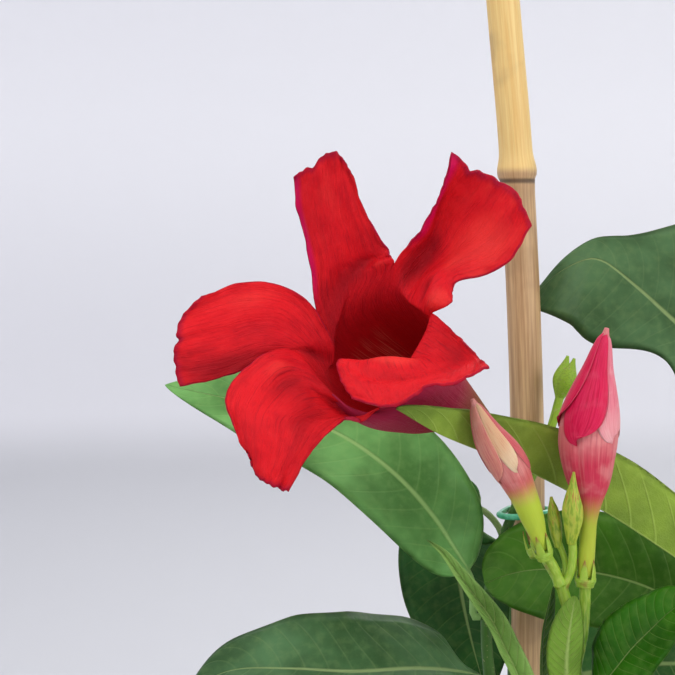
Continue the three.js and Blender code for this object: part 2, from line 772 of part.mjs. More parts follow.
// A closed bud: its petals are rolled round each other, so low ridges wind up it.
function budSolid({ route, widths, twist, relief }) {
  const radiusAt = (t, angle) => {
    const ridge = Math.abs(((angle / (2 * Math.PI) + t * twist) * 5) % 1);
    return (along(widths, t) / 2) * (1 - relief * smooth(0.15, 0.45, t) * ridge);
  };
  return bar(route.map(vector), radiusAt, 15, 18);
}

// The open flower

const SINUS_ROW = RINGS.length;
const COLUMNS = [0, 1, 2, 3, 4];

function ringPoint(ring, angle) {
  const middle = vector(RINGS[ring].middle);
  const before = vector(RINGS[Math.max(0, ring - 1)].middle);
  const after = vector(RINGS[Math.min(RINGS.length - 1, ring + 1)].middle);
  const axis = ring === RINGS.length - 1 ? vector(FACING).normalize() : after.sub(before).normalize();
  const far = vector(FAR_SIDE);
  far.addScaledVector(axis, -far.dot(axis)).normalize();
  const side = far.clone().cross(axis);
  const away = (((THREE.MathUtils.radToDeg(angle) + 360) % 360) - DENT.middle) / DENT.spread;
  const dent = ring === RINGS.length - 1 ? DENT.share * Math.exp(-away * away) : 0;
  const radius = RINGS[ring].radius * (1 - dent);
  middle.addScaledVector(far, radius * Math.cos(angle));
  return middle.addScaledVector(side, radius * Math.sin(angle));
}

// Every control row of one lobe's fifth of the flower, from the calyx to the margin.
const FIFTHS = Object.values(LOBES).map((rows, k) => {
  const start = radians(LOBE_STARTS[k]);
  const end = radians(LOBE_STARTS[(k + 1) % 5] + (k === 4 ? 360 : 0));
  const angles = COLUMNS.map((c) => start + ((end - start) * c) / 4);
  const rings = RINGS.map((none, ring) => angles.map((angle) => ringPoint(ring, angle)));
  return [...rings, ...rows.map((row) => row.map(vector))];
});

// A column of a fifth at the height v, in rows. Below the notches neighbours share their edge columns.
function columnPoint(rows, column, v) {
  const low = Math.min(rows.length - 2, Math.floor(v));
  const edge = column === 0 || column === 4;
  const at = (r) => rows[r][column];
  const here = at(low);
  const next = at(low + 1);
  const beyond = (a, b) => a.clone().multiplyScalar(2).sub(b);
  const before = low > 0 ? at(low - 1) : beyond(here, next);
  const last = low + 2 >= rows.length || (edge && low + 1 === SINUS_ROW);
  return catmullPoint(before, here, next, last ? beyond(next, here) : at(low + 2), v - low);
}

// The flower's surface: u runs clockwise over one fifth, and v from the calyx to the margin, in rows.
function petalPoint(k, u, v) {
  const columns = COLUMNS.map((c) => columnPoint(FIFTHS[k], c, v));
  const free = smooth(SINUS_ROW - 0.8, SINUS_ROW, v);
  const outside = (edge, inner, neighbour, column) => {
    const open = edge.clone().multiplyScalar(2).sub(inner);
    return v < SINUS_ROW ? mixed(columnPoint(FIFTHS[neighbour], column, v), open, free) : open;
  };
  const row = [
    outside(columns[0], columns[1], (k + 4) % 5, 3),
    ...columns,
    outside(columns[4], columns[3], (k + 1) % 5, 1),
  ];
  const place = Math.min(3, Math.floor(u * 4));
  return catmullPoint(...row.slice(place, place + 4), u * 4 - place);
}

function corollaSolid() {
  const fifths = FIFTHS.map((rows, k) => {
    const heights = [0, 1, 2];
    for (let step = 2 * STEPS_PER_ROW + 1; step <= (rows.length - 1) * STEPS_PER_ROW; step += 1) {
      heights.push(step / STEPS_PER_ROW);
    }
    const sheet = new THREE.PlaneGeometry(1, 1, LOBE_COLUMNS, heights.length - 1);
    const position = sheet.attributes.position;
    for (let i = 0; i < position.count; i += 1) {
      const u = (i % (LOBE_COLUMNS + 1)) / LOBE_COLUMNS;
      const v = heights[Math.floor(i / (LOBE_COLUMNS + 1))];
      const place = petalPoint(k, u, v).add(vector(MOUTH));
      position.setXYZ(i, place.x, place.y, place.z);
    }
    sheet.deleteAttribute("uv");
    sheet.deleteAttribute("normal");
    return sheet;
  });
  return thicken(mergeVertices(mergeGeometries(fifths), 2e-3), () => PETAL_THICKNESS / 2);
}

// The cone of anthers deep in the throat stands on the calyx.
function coneSolid() {
  const [foot, tube, throat] = RINGS.slice(0, 3).map(({ middle }) => vector(middle).add(vector(MOUTH)));
  return bar([mixed(foot, tube, 0.04), tube, throat], (t) => along(CONE_RADII, t), 6, 9);
}

// Leaves

// Half the blade's width at t from 0 at its base to 1 at its tip, where the leaf's width is 1.
function bladeWidth(t, belly) {
  const base = belly * BLADE_ROUNDNESS;
  const tip = BLADE_ROUNDNESS - base;
  const shape = (x) => Math.max(0, x) ** base * Math.max(0, 1 - x) ** tip;
  return (0.5 * shape(t)) / shape(belly);
}

// One blade with its leaf stalk, from the stem to the tip. The stalk is the midrib's first part.
function leafSolid({ on, midrib, stalk, width, up, fold, wave, belly, lopsided = 0, steady = 0 }) {
  const route = midrib.map(vector);
  const curve = curveThrough([...seat(on, route[0], route[1]), ...route.slice(1)]);
  const length = curve.getLength();
  const base = stalk / length;
  const marks = [0, FOOT_LENGTH / length];
  if (stalk > LONG_STALK) {
    marks.push(base * 0.55);
  }
  marks.push(base, ...BLADE_MARKS.map((t) => base + (1 - base) * t));
  const sheet = new THREE.PlaneGeometry(1, 1, 4, marks.length - 1);
  const position = sheet.attributes.position;
  const halves = [];
  const chord = curve.getPointAt(1).sub(curve.getPointAt(base)).normalize();
  for (let i = 0; i < position.count; i += 1) {
    const t = marks[Math.floor(i / 5)];
    const s = ((i % 5) - 2) / 2;
    const blade = (t - base) / (1 - base);
    const ahead = mixed(curve.getTangentAt(t), chord, steady * smooth(-0.1, 0.2, blade));
    const aside = ahead.clone().cross(vector(up)).normalize();
    const above = aside.clone().cross(ahead).normalize();
    const skew = 1 + Math.sign(s) * lopsided * (smooth(0, 0.25, blade) - 2 * smooth(0.25, 0.7, blade));
    const half = Math.max(PETIOLE_RADIUS * (1 - 0.45 * t), width * bladeWidth(blade, belly) * skew);
    const tilt = radians(fold * smooth(0, 0.12, blade));
    const ends = smooth(0, 0.3, blade) * smooth(1, 0.8, blade);
    const ripple = wave * Math.sin(blade * BLADE_WAVES + s * 2) * s * s * ends;
    const place = curve
      .getPointAt(t)
      .addScaledVector(aside, half * s * Math.cos(tilt))
      .addScaledVector(above, half * Math.abs(s) * Math.sin(tilt) + ripple);
    position.setXYZ(i, place.x, place.y, place.z);
    const stalkHalf = PETIOLE_RADIUS * (0.9 - 0.32 * Math.abs(s));
    halves.push(BLADE_THICKNESS / 2 + (stalkHalf - BLADE_THICKNESS / 2) * smooth(0.1, 0, blade));
  }
  sheet.deleteAttribute("uv");
  return thicken(sheet, (i) => halves[i]);
}

// A leaf by rule: it leaves the vine at a heading, rises and then droops in an even arc.
function pairLeaf({ on, height, turn, length, width, rise, droop, roll = 0 }, side) {
  const root = pointAtHeight(CARRIERS[on].curve, height);
  const heading = radians(turn + side);
  const out = new THREE.Vector3(Math.cos(heading), Math.sin(heading), 0);
  const midrib = [root.toArray()];
  const place = root.clone().addScaledVector(out, 5);
  const stride = (length - 5) / ARC_STEPS;
  for (let i = 0; i < ARC_STEPS; i += 1) {
    const pitch = radians(rise - (droop * (i + 0.5)) / ARC_STEPS);
    place.addScaledVector(out, stride * Math.cos(pitch)).addScaledVector(UP, stride * Math.sin(pitch));
    midrib.push(place.toArray());
  }
  const up = new THREE.Vector3(-0.25 * out.x, -0.25 * out.y, 1).applyAxisAngle(out, radians(roll)).toArray();
  return leafSolid({ on, midrib, stalk: length * 0.1, width, up, ...PAIR_LOOK });
}

// Ties: soft wire loops round the cane and the main vine

function tieSolid(height) {
  const pole = pointAtHeight(caneCurve, height);
  const stem = pointAtHeight(CARRIERS.vine_main.curve, height);
  const rounds = [
    [pole, caneRadiusAt(height)],
    [stem, VINES.vine_main.foot],
  ];
  const loop = [];
  for (let i = 0; i < TIE.points; i += 1) {
    const angle = (i / TIE.points) * 2 * Math.PI;
    const out = new THREE.Vector3(Math.cos(angle), Math.sin(angle), 0);
    const reach = ([middle, radius]) => middle.dot(out) + radius;
    const [middle, radius] = rounds.reduce((a, b) => (reach(a) > reach(b) ? a : b));
    const place = middle.clone().addScaledVector(out, radius + TIE.gap + TIE.wire);
    loop.push(place.setZ(height));
  }
  const section = new THREE.Shape().absarc(0, 0, TIE.wire, 0, 2 * Math.PI);
  const sweep = { steps: 28, extrudePath: curveThrough(loop, true), curveSegments: 3, bevelEnabled: false };
  return new THREE.ExtrudeGeometry(section, sweep);
}

// What stands in the soil, a little wider, to cut its holes.
function holeFor(route, radius) {
  const foot = vector(route[0]).setZ(route[0][2] - HOLE_GAP);
  return bar([foot, ...route.map(vector)], () => radius + HOLE_GAP, 10, 36);
}

const standing = [
  holeFor(CANE_ROUTE, CANE.radius + CANE.nodeSwell),
  ...Object.values(VINES).map((vine) => holeFor(vine.route, vine.foot)),
];

add("pot", potSolid(), "clay");
add("soil", soilSolid(standing), "soil");
add("cane", caneSolid(), "cane");
for (const name of Object.keys(VINES)) {
  add(name, vineSolid(name), "stem");
}
add("flower_shoot", shootSolid(), "shoot");
add("corolla", corollaSolid(), "petal");
add("anther_cone", coneSolid(), "cone");
add("bud_right", budSolid(BUDS.bud_right), "bud");
add("bud_left", budSolid(BUDS.bud_left), "budPale");
for (const [name, leaf] of Object.entries(SHAPED_LEAVES)) {
  add(name, leafSolid(leaf), name.includes("young") ? "young" : "leaf");
}
let leafNumber = 0;
for (const pair of LEAF_PAIRS) {
  for (const side of pair.sides) {
    leafNumber += 1;
    add(`leaf_${String(leafNumber).padStart(2, "0")}`, pairLeaf(pair, side), "leaf");
  }
}
add("tie_upper", tieSolid(TIE.heights[0]), "tie");
add("tie_lower", tieSolid(TIE.heights[1]), "tie");

export default group;
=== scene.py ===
# A climbing plant with red trumpet flowers in a clay pot, tied to a bamboo cane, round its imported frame.
# Metres, +Z up. The open flower looks towards -Y, and +X is to the right of it.
import functools
import math
import random

import bmesh
import bpy
from mathutils import Matrix, Quaternion, Vector, noise


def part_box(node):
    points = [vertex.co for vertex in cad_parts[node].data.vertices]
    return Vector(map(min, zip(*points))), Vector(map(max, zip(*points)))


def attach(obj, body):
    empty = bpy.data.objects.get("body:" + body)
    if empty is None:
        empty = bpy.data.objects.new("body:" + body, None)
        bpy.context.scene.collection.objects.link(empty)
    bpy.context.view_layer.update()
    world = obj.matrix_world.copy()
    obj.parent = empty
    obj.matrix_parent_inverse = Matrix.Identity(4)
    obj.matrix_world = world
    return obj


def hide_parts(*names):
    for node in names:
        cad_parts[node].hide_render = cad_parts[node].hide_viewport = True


bl_info = {
    "name": "Potted red climber",
    "version": (1, 0, 0),
    "blender": (4, 5, 0),
    "location": "View3D > Sidebar > Climber",
    "description": "Builds the flower, buds, leaves, stems, cane and pot around the packed frame",
    "category": "Add Mesh",
}

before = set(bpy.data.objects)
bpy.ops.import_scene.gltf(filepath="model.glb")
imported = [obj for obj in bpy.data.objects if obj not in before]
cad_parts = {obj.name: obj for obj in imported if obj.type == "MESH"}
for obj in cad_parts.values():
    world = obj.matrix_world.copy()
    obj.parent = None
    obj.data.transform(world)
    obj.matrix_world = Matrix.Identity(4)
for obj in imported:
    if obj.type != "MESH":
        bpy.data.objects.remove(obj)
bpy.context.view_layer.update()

# Driving dimensions

POT_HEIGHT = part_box("pot")[1].z
RIM_HEIGHT = 0.024
RIM_RADIUS = 0.076
RIM_STEP = 0.005
RIM_WALL = 0.003
BODY_RADIUS = 0.068
BASE_RADIUS = 0.05
POT_WALL = 0.005
POT_FLOOR = 0.007
POT_EDGE = 0.002
DRAIN_RADIUS = 0.005
DRAIN_RING = 0.026
DRAINS = 3
SOIL_LEVEL = 0.118
SOIL_DOME = 0.005
SOIL_LUMP = 0.0011
SOIL_ROUGH = 0.0008
SOIL_GAP = 0.0006
SOIL_FOOT = POT_FLOOR + 0.0004
CRUMB_SIZES = (0.0007, 0.0023)
PERLITE_SIZES = (0.0007, 0.0014)
PERLITE_SHARE = 0.1

CANE_RADIUS = 0.00475
CANE_PITH = 0.0016
PITH_DEPTH = 0.014
NODE_SWELL = 0.0009
NODE_REACH = 0.0032
GROOVE_BELOW_NODE = 0.0028
GROOVE_REACH = 0.0007
GROOVE_DEPTH = 0.00035
CANE_NODES = [0.092, 0.243, 0.393]

LEAF_GAP = 0.00045
FOOT_LENGTH = 0.00165
VINE_KNOT = {"reach": 0.0022, "height": 0.00035}
SHOOT_KNOT = {"reach": 0.0018, "height": 0.0004}
PETIOLE_RADIUS = 0.0011
BLADE_THICKNESS = 0.0004
BLADE_WAVES = 9
BLADE_ROUNDNESS = 1.28
ARC_STEPS = 5

TIE_WIRE = 0.0009
TIE_GAP = 0.00035
TIE_POINTS = 24
TIE_HEIGHTS = {"tie_upper": 0.296, "tie_lower": 0.176}

CANE_ROUTE = [
    (-0.003, 0, 0.042), (-0.004, 0, 0.15), (-0.005, 0, 0.258), (-0.006, 0, 0.328), (-0.0095, 0, 0.397),
    (-0.0135, 0, 0.441), (-0.02, 0, 0.52),
]

VINES = {
    "vine_main": {
        "foot": 0.0026, "tip": 0.0012,
        "route": [
            (0.012, -0.006, 0.092), (0.012, -0.006, 0.12), (0.007, -0.009, 0.14), (-0.003, -0.0096, 0.166),
            (-0.0105, -0.007, 0.184), (-0.0135, -0.0015, 0.203), (-0.0145, -0.003, 0.232),
            (-0.0175, -0.0055, 0.262), (-0.016, -0.0075, 0.28), (-0.0105, -0.0068, 0.296),
            (-0.004, -0.0086, 0.31), (0, -0.0085, 0.321), (0.003, -0.0085, 0.332),
        ],
    },
    "vine_back": {
        "foot": 0.0024, "tip": 0.0012,
        "route": [
            (-0.012, 0.01, 0.092), (-0.012, 0.01, 0.12), (-0.012, 0.0095, 0.15), (-0.01, 0.009, 0.19),
            (-0.008, 0.0095, 0.225), (-0.0085, 0.009, 0.255), (-0.007, 0.01, 0.28), (-0.004, 0.011, 0.296),
        ],
    },
    "vine_right": {
        "foot": 0.0026, "tip": 0.0011,
        "route": [
            (0.026, -0.008, 0.092), (0.026, -0.008, 0.12), (0.034, -0.014, 0.16), (0.046, -0.024, 0.205),
            (0.056, -0.032, 0.25), (0.061, -0.031, 0.285), (0.062, -0.016, 0.315), (0.06, -0.002, 0.338),
            (0.057, 0.005, 0.362),
        ],
    },
}

SHOOT = {
    "foot": 0.0019, "tip": 0.0015,
    "axis": [
        (-0.0115, -0.0055, 0.212), (-0.008, -0.017, 0.222), (-0.003, -0.034, 0.234), (0.001, -0.046, 0.246),
        (0.002, -0.051, 0.257), (0.001, -0.054, 0.267), (0, -0.056, 0.276), (-0.002, -0.057, 0.283),
        (-0.0035, -0.058, 0.288),
    ],
}
STALKS = {
    "left_bud": {
        "radius": 0.0014,
        "route": [(-0.0035, -0.058, 0.287), (-0.0055, -0.0595, 0.292), (-0.0083, -0.061, 0.2962)],
    },
    "right_bud": {
        "radius": 0.0016,
        "route": [
            (0.001, -0.054, 0.266), (0.0025, -0.055, 0.272), (0.003, -0.056, 0.28), (0.003, -0.057, 0.2885),
        ],
    },
    "open_flower": {
        "radius": 0.0013,
        "route": [(-0.0035, -0.058, 0.287), (-0.0055, -0.053, 0.2905), (-0.008, -0.0485, 0.2945)],
    },
    "green_bud": {
        "radius": 0.0012,
        "route": [
            (-0.003, -0.0575, 0.286), (-0.001, -0.058, 0.29), (-0.0005, -0.059, 0.295),
            (-0.001, -0.06, 0.3),
        ],
    },
    "small_bud": {
        "radius": 0.0009,
        "route": [(-0.003, -0.057, 0.285), (-0.002, -0.0565, 0.292), (-0.004, -0.057, 0.298)],
    },
}

# A bud's route and widths run from its calyx to its tip, and its petals are rolled over it in turn: how far
# each reaches round, where its foot lies along the bud, how round the foot is, and how far it stands proud.
BUD_CREASE = 0.1
COVER_OUTSIDE = 0.00014
COVER_INSIDE = 0.00022
BUDS = {
    "bud_right": {
        "piece": "crimson_bud", "slot": "bud",
        "turn": -0.49, "skew": 0.02, "twist": 0.1,
        "route": [
            (0.003, -0.057, 0.2889), (0.0035, -0.0575, 0.301), (0.0035, -0.0585, 0.3115),
            (0.003, -0.0595, 0.324), (0.005, -0.061, 0.341), (0.007, -0.062, 0.3525),
        ],
        "widths": [
            0.0038, 0.0044, 0.0044, 0.0048, 0.0075, 0.0115, 0.014, 0.0156, 0.0154, 0.0134, 0.0104, 0.007,
            0.0044, 0.0012,
        ],
        "petals": [
            {"reach": 1.05, "foot": 0.565, "round": 0.5, "lift": 0.0009, "finish": 1},
            {"reach": 0.95, "foot": 0.58, "round": 0.5, "lift": 0.0002, "finish": 2},
            {"reach": 0.95, "foot": 0.57, "round": 0.4, "lift": 0.0005, "finish": 2},
            {"reach": 0.95, "foot": 0.57, "round": 0.4, "lift": 0.0005, "finish": 1},
            {"reach": 1.3, "foot": 0.61, "round": 0.9, "lift": 0.0009, "finish": 1},
        ],
    },
    "bud_left": {
        "piece": "salmon_bud", "slot": "bud_pale",
        "turn": 0.3, "skew": 0.02, "twist": 0.2,
        "route": [
            (-0.0085, -0.061, 0.2968), (-0.01, -0.062, 0.3015), (-0.0135, -0.0645, 0.3105),
            (-0.018, -0.066, 0.3195), (-0.0225, -0.0675, 0.326), (-0.027, -0.07, 0.3355),
        ],
        "widths": [
            0.0032, 0.0046, 0.006, 0.0068, 0.0074, 0.0086, 0.0096, 0.0094, 0.0082, 0.0062, 0.0038, 0.0011,
        ],
        "petals": [
            {"reach": 0.55, "foot": 0.54, "round": 0.5, "lift": 0.0006, "finish": 3},
            {"reach": 0.9, "foot": 0.5, "round": 0.4, "lift": 0.0003, "finish": 2},
            {"reach": 0.8, "foot": 0.5, "round": 0.4, "lift": 0.0004, "finish": 1},
            {"reach": 0.8, "foot": 0.5, "round": 0.4, "lift": 0.0004, "finish": 2},
            {"reach": 1, "foot": 0.5, "round": 0.6, "lift": 0.0003, "finish": 1},
        ],
    },
}

# Finishes of a bud's body (name, body, foot, and where the foot's colour ends and the body's starts)
# and of the petals rolled over it (name, middle, edge, pale streaks, flush, and how strong the painted
# highlight at their feet is).
BUD_COLOURS = {
    "bud_right": {
        "body": ("crimson_bud", "C4304A", "A9B638", 0.2, 0.36),
        "petals": [
            ("crimson_petal", "CA0642", "D8305A", "D66478", "A0042C", 0),
            ("rosy_petal", "DE6A7C", "E68C96", "F4D8CC", "CC4462", 0.25),
        ],
    },
    "bud_left": {
        "body": ("salmon_bud", "C05A58", "AFC23A", 0.3, 0.46),
        "petals": [
            ("salmon_petal", "D07C6C", "D89C88", "E8C0A4", "B8485C", 0),
            ("rose_petal", "C4565C", "CC706C", "DCA08C", "A83048", 0),
            ("tear_petal", "DCAC80", "E0B894", "F4ECC8", "CC7068", 0.3),
        ],
    },
}

GREEN_BUDS = [
    {
        "route": [
            (-0.001, -0.0596, 0.298), (-0.001, -0.0615, 0.3035), (-0.0015, -0.064, 0.3095),
            (-0.0015, -0.0665, 0.317),
        ],
        "widths": [0.0024, 0.0038, 0.005, 0.0052, 0.0038, 0.002, 0.0007],
    },
    {
        "route": [(-0.004, -0.057, 0.2965), (-0.005, -0.0575, 0.303), (-0.006, -0.058, 0.3095)],
        "widths": [0.0018, 0.003, 0.0034, 0.0026, 0.0007],
    },
]

# The flower's rings from its calyx to its throat, and each lobe's rows from there to its margin, with five
# points from edge to edge. All are measured from the middle of the mouth.
RINGS = [
    {"middle": (0.0398, 0.0145, -0.0525), "radius": 0.002},
    {"middle": (0.0375, 0.019, -0.0425), "radius": 0.0021},
    {"middle": (0.033, 0.022, -0.0325), "radius": 0.0026},
    {"middle": (0.022, 0.022, -0.0205), "radius": 0.0053},
    {"middle": (0.0095, 0.0125, -0.013), "radius": 0.0115},
    {"middle": (-0.0015, 0.001, -0.0045), "radius": 0.0165},
]

LOBES = {
    "upper": [
        [(-0.013, 0.008, -0.0055), (-0.012, 0.009, 0.004), (-0.0085, 0.009, 0.0135),
         (-0.003, 0.007, 0.017), (0.002, 0.003, 0.0195)],
        [(-0.0175, 0.008, 0.008), (-0.0145, 0.008, 0.013), (-0.0095, 0.008, 0.018),
         (-0.0035, 0.0075, 0.0205), (0.0015, 0.0035, 0.0215)],
        [(-0.019, 0.007, 0.02), (-0.0155, 0.006, 0.0215), (-0.011, 0.006, 0.0225),
         (-0.005, 0.007, 0.0235), (0, 0.004, 0.0235)],
        [(-0.022, 0.006, 0.0325), (-0.018, 0.004, 0.0335), (-0.0135, 0.003, 0.0345),
         (-0.0085, 0.003, 0.0345), (-0.0055, 0.004, 0.034)],
        [(-0.023, 0.003, 0.0415), (-0.019, 0.001, 0.0445), (-0.014, -0.001, 0.048),
         (-0.011, 0, 0.0465), (-0.0085, 0.001, 0.0425)],
    ],
    "upper_right": [
        [(0.002, 0.003, 0.0195), (0.0035, 0.003, 0.016), (0.0055, 0.001, 0.0115),
         (0.0085, -0.006, 0.0095), (0.011, -0.008, 0.008)],
        [(0.0055, 0.001, 0.0245), (0.0075, 0.003, 0.021), (0.0095, 0.003, 0.017),
         (0.0105, -0.007, 0.0155), (0.0155, -0.011, 0.0105)],
        [(0.0095, -0.002, 0.03), (0.012, 0.002, 0.026), (0.0155, 0, 0.0225),
         (0.0165, -0.005, 0.02), (0.017, -0.009, 0.0155)],
        [(0.013, -0.006, 0.038), (0.015, 0, 0.033), (0.0205, -0.002, 0.029),
         (0.026, -0.007, 0.025), (0.028, -0.011, 0.019)],
        [(0.0155, -0.009, 0.0475), (0.0215, -0.008, 0.0435), (0.0275, -0.009, 0.0405),
         (0.032, -0.011, 0.0365), (0.0345, -0.013, 0.0295)],
    ],
    "lower_right": [
        [(0.011, -0.008, 0.008), (0.0095, -0.009, 0.0035), (0.006, -0.0095, -0.003),
         (0.0025, -0.01, -0.0095), (-0.0015, -0.0085, -0.015)],
        [(0.0145, -0.011, 0.0055), (0.013, -0.013, 0.0015), (0.0085, -0.014, -0.003),
         (-0.002, -0.012, -0.004), (-0.0095, -0.009, -0.0035)],
        [(0.018, -0.018, 0.002), (0.0175, -0.02, -0.0015), (0.0105, -0.022, -0.005),
         (-0.002, -0.019, -0.0065), (-0.0125, -0.012, -0.004)],
        [(0.021, -0.025, -0.001), (0.019, -0.028, -0.003), (0.011, -0.028, -0.006),
         (-0.001, -0.025, -0.009), (-0.011, -0.017, -0.008)],
        [(0.023, -0.032, -0.003), (0.017, -0.034, -0.006), (0.0095, -0.034, -0.0075),
         (0.0005, -0.031, -0.0125), (-0.0085, -0.022, -0.0115)],
    ],
    "lower_left": [
        [(-0.0015, -0.0085, -0.015), (-0.007, -0.005, -0.0175), (-0.013, -0.003, -0.0145),
         (-0.0175, -0.003, -0.0085), (-0.021, 0.002, -0.003)],
        [(-0.0055, -0.009, -0.018), (-0.012, -0.0065, -0.0175), (-0.0185, -0.0055, -0.0135),
         (-0.0255, -0.004, -0.0065), (-0.0305, -0.003, -0.0025)],
        [(-0.0095, -0.008, -0.0175), (-0.0175, -0.01, -0.0185), (-0.0255, -0.012, -0.017),
         (-0.033, -0.011, -0.014), (-0.039, -0.009, -0.0105)],
        [(-0.018, -0.012, -0.025), (-0.022, -0.014, -0.0245), (-0.027, -0.015, -0.024),
         (-0.033, -0.014, -0.022), (-0.0375, -0.012, -0.0185)],
        [(-0.024, -0.016, -0.0345), (-0.0265, -0.016, -0.034), (-0.0295, -0.016, -0.0325),
         (-0.032, -0.015, -0.03), (-0.0335, -0.014, -0.0255)],
    ],
    "left": [
        [(-0.021, 0.002, -0.003), (-0.019, 0.0035, -0.0035), (-0.017, 0.005, -0.004),
         (-0.015, 0.0065, -0.005), (-0.013, 0.008, -0.0055)],
        [(-0.0255, 0.0015, -0.0025), (-0.0235, 0.0025, -0.0005), (-0.0205, 0.0035, 0.0005),
         (-0.017, 0.0045, 0.001), (-0.0135, 0.0055, 0.001)],
        [(-0.0305, 0.001, -0.0045), (-0.0305, 0.001, 0.0005), (-0.0285, 0.003, 0.0055),
         (-0.0255, 0.005, 0.0095), (-0.0205, 0.005, 0.0115)],
        [(-0.0405, 0, -0.0085), (-0.0415, 0, -0.0025), (-0.0405, 0.002, 0.0035),
         (-0.0385, 0.004, 0.01), (-0.0335, 0.006, 0.0155)],
        [(-0.0515, -0.003, -0.0105), (-0.053, -0.001, -0.0045), (-0.053, 0, 0.0005),
         (-0.051, 0.001, 0.0065), (-0.0465, 0.003, 0.0115)],
    ],
}

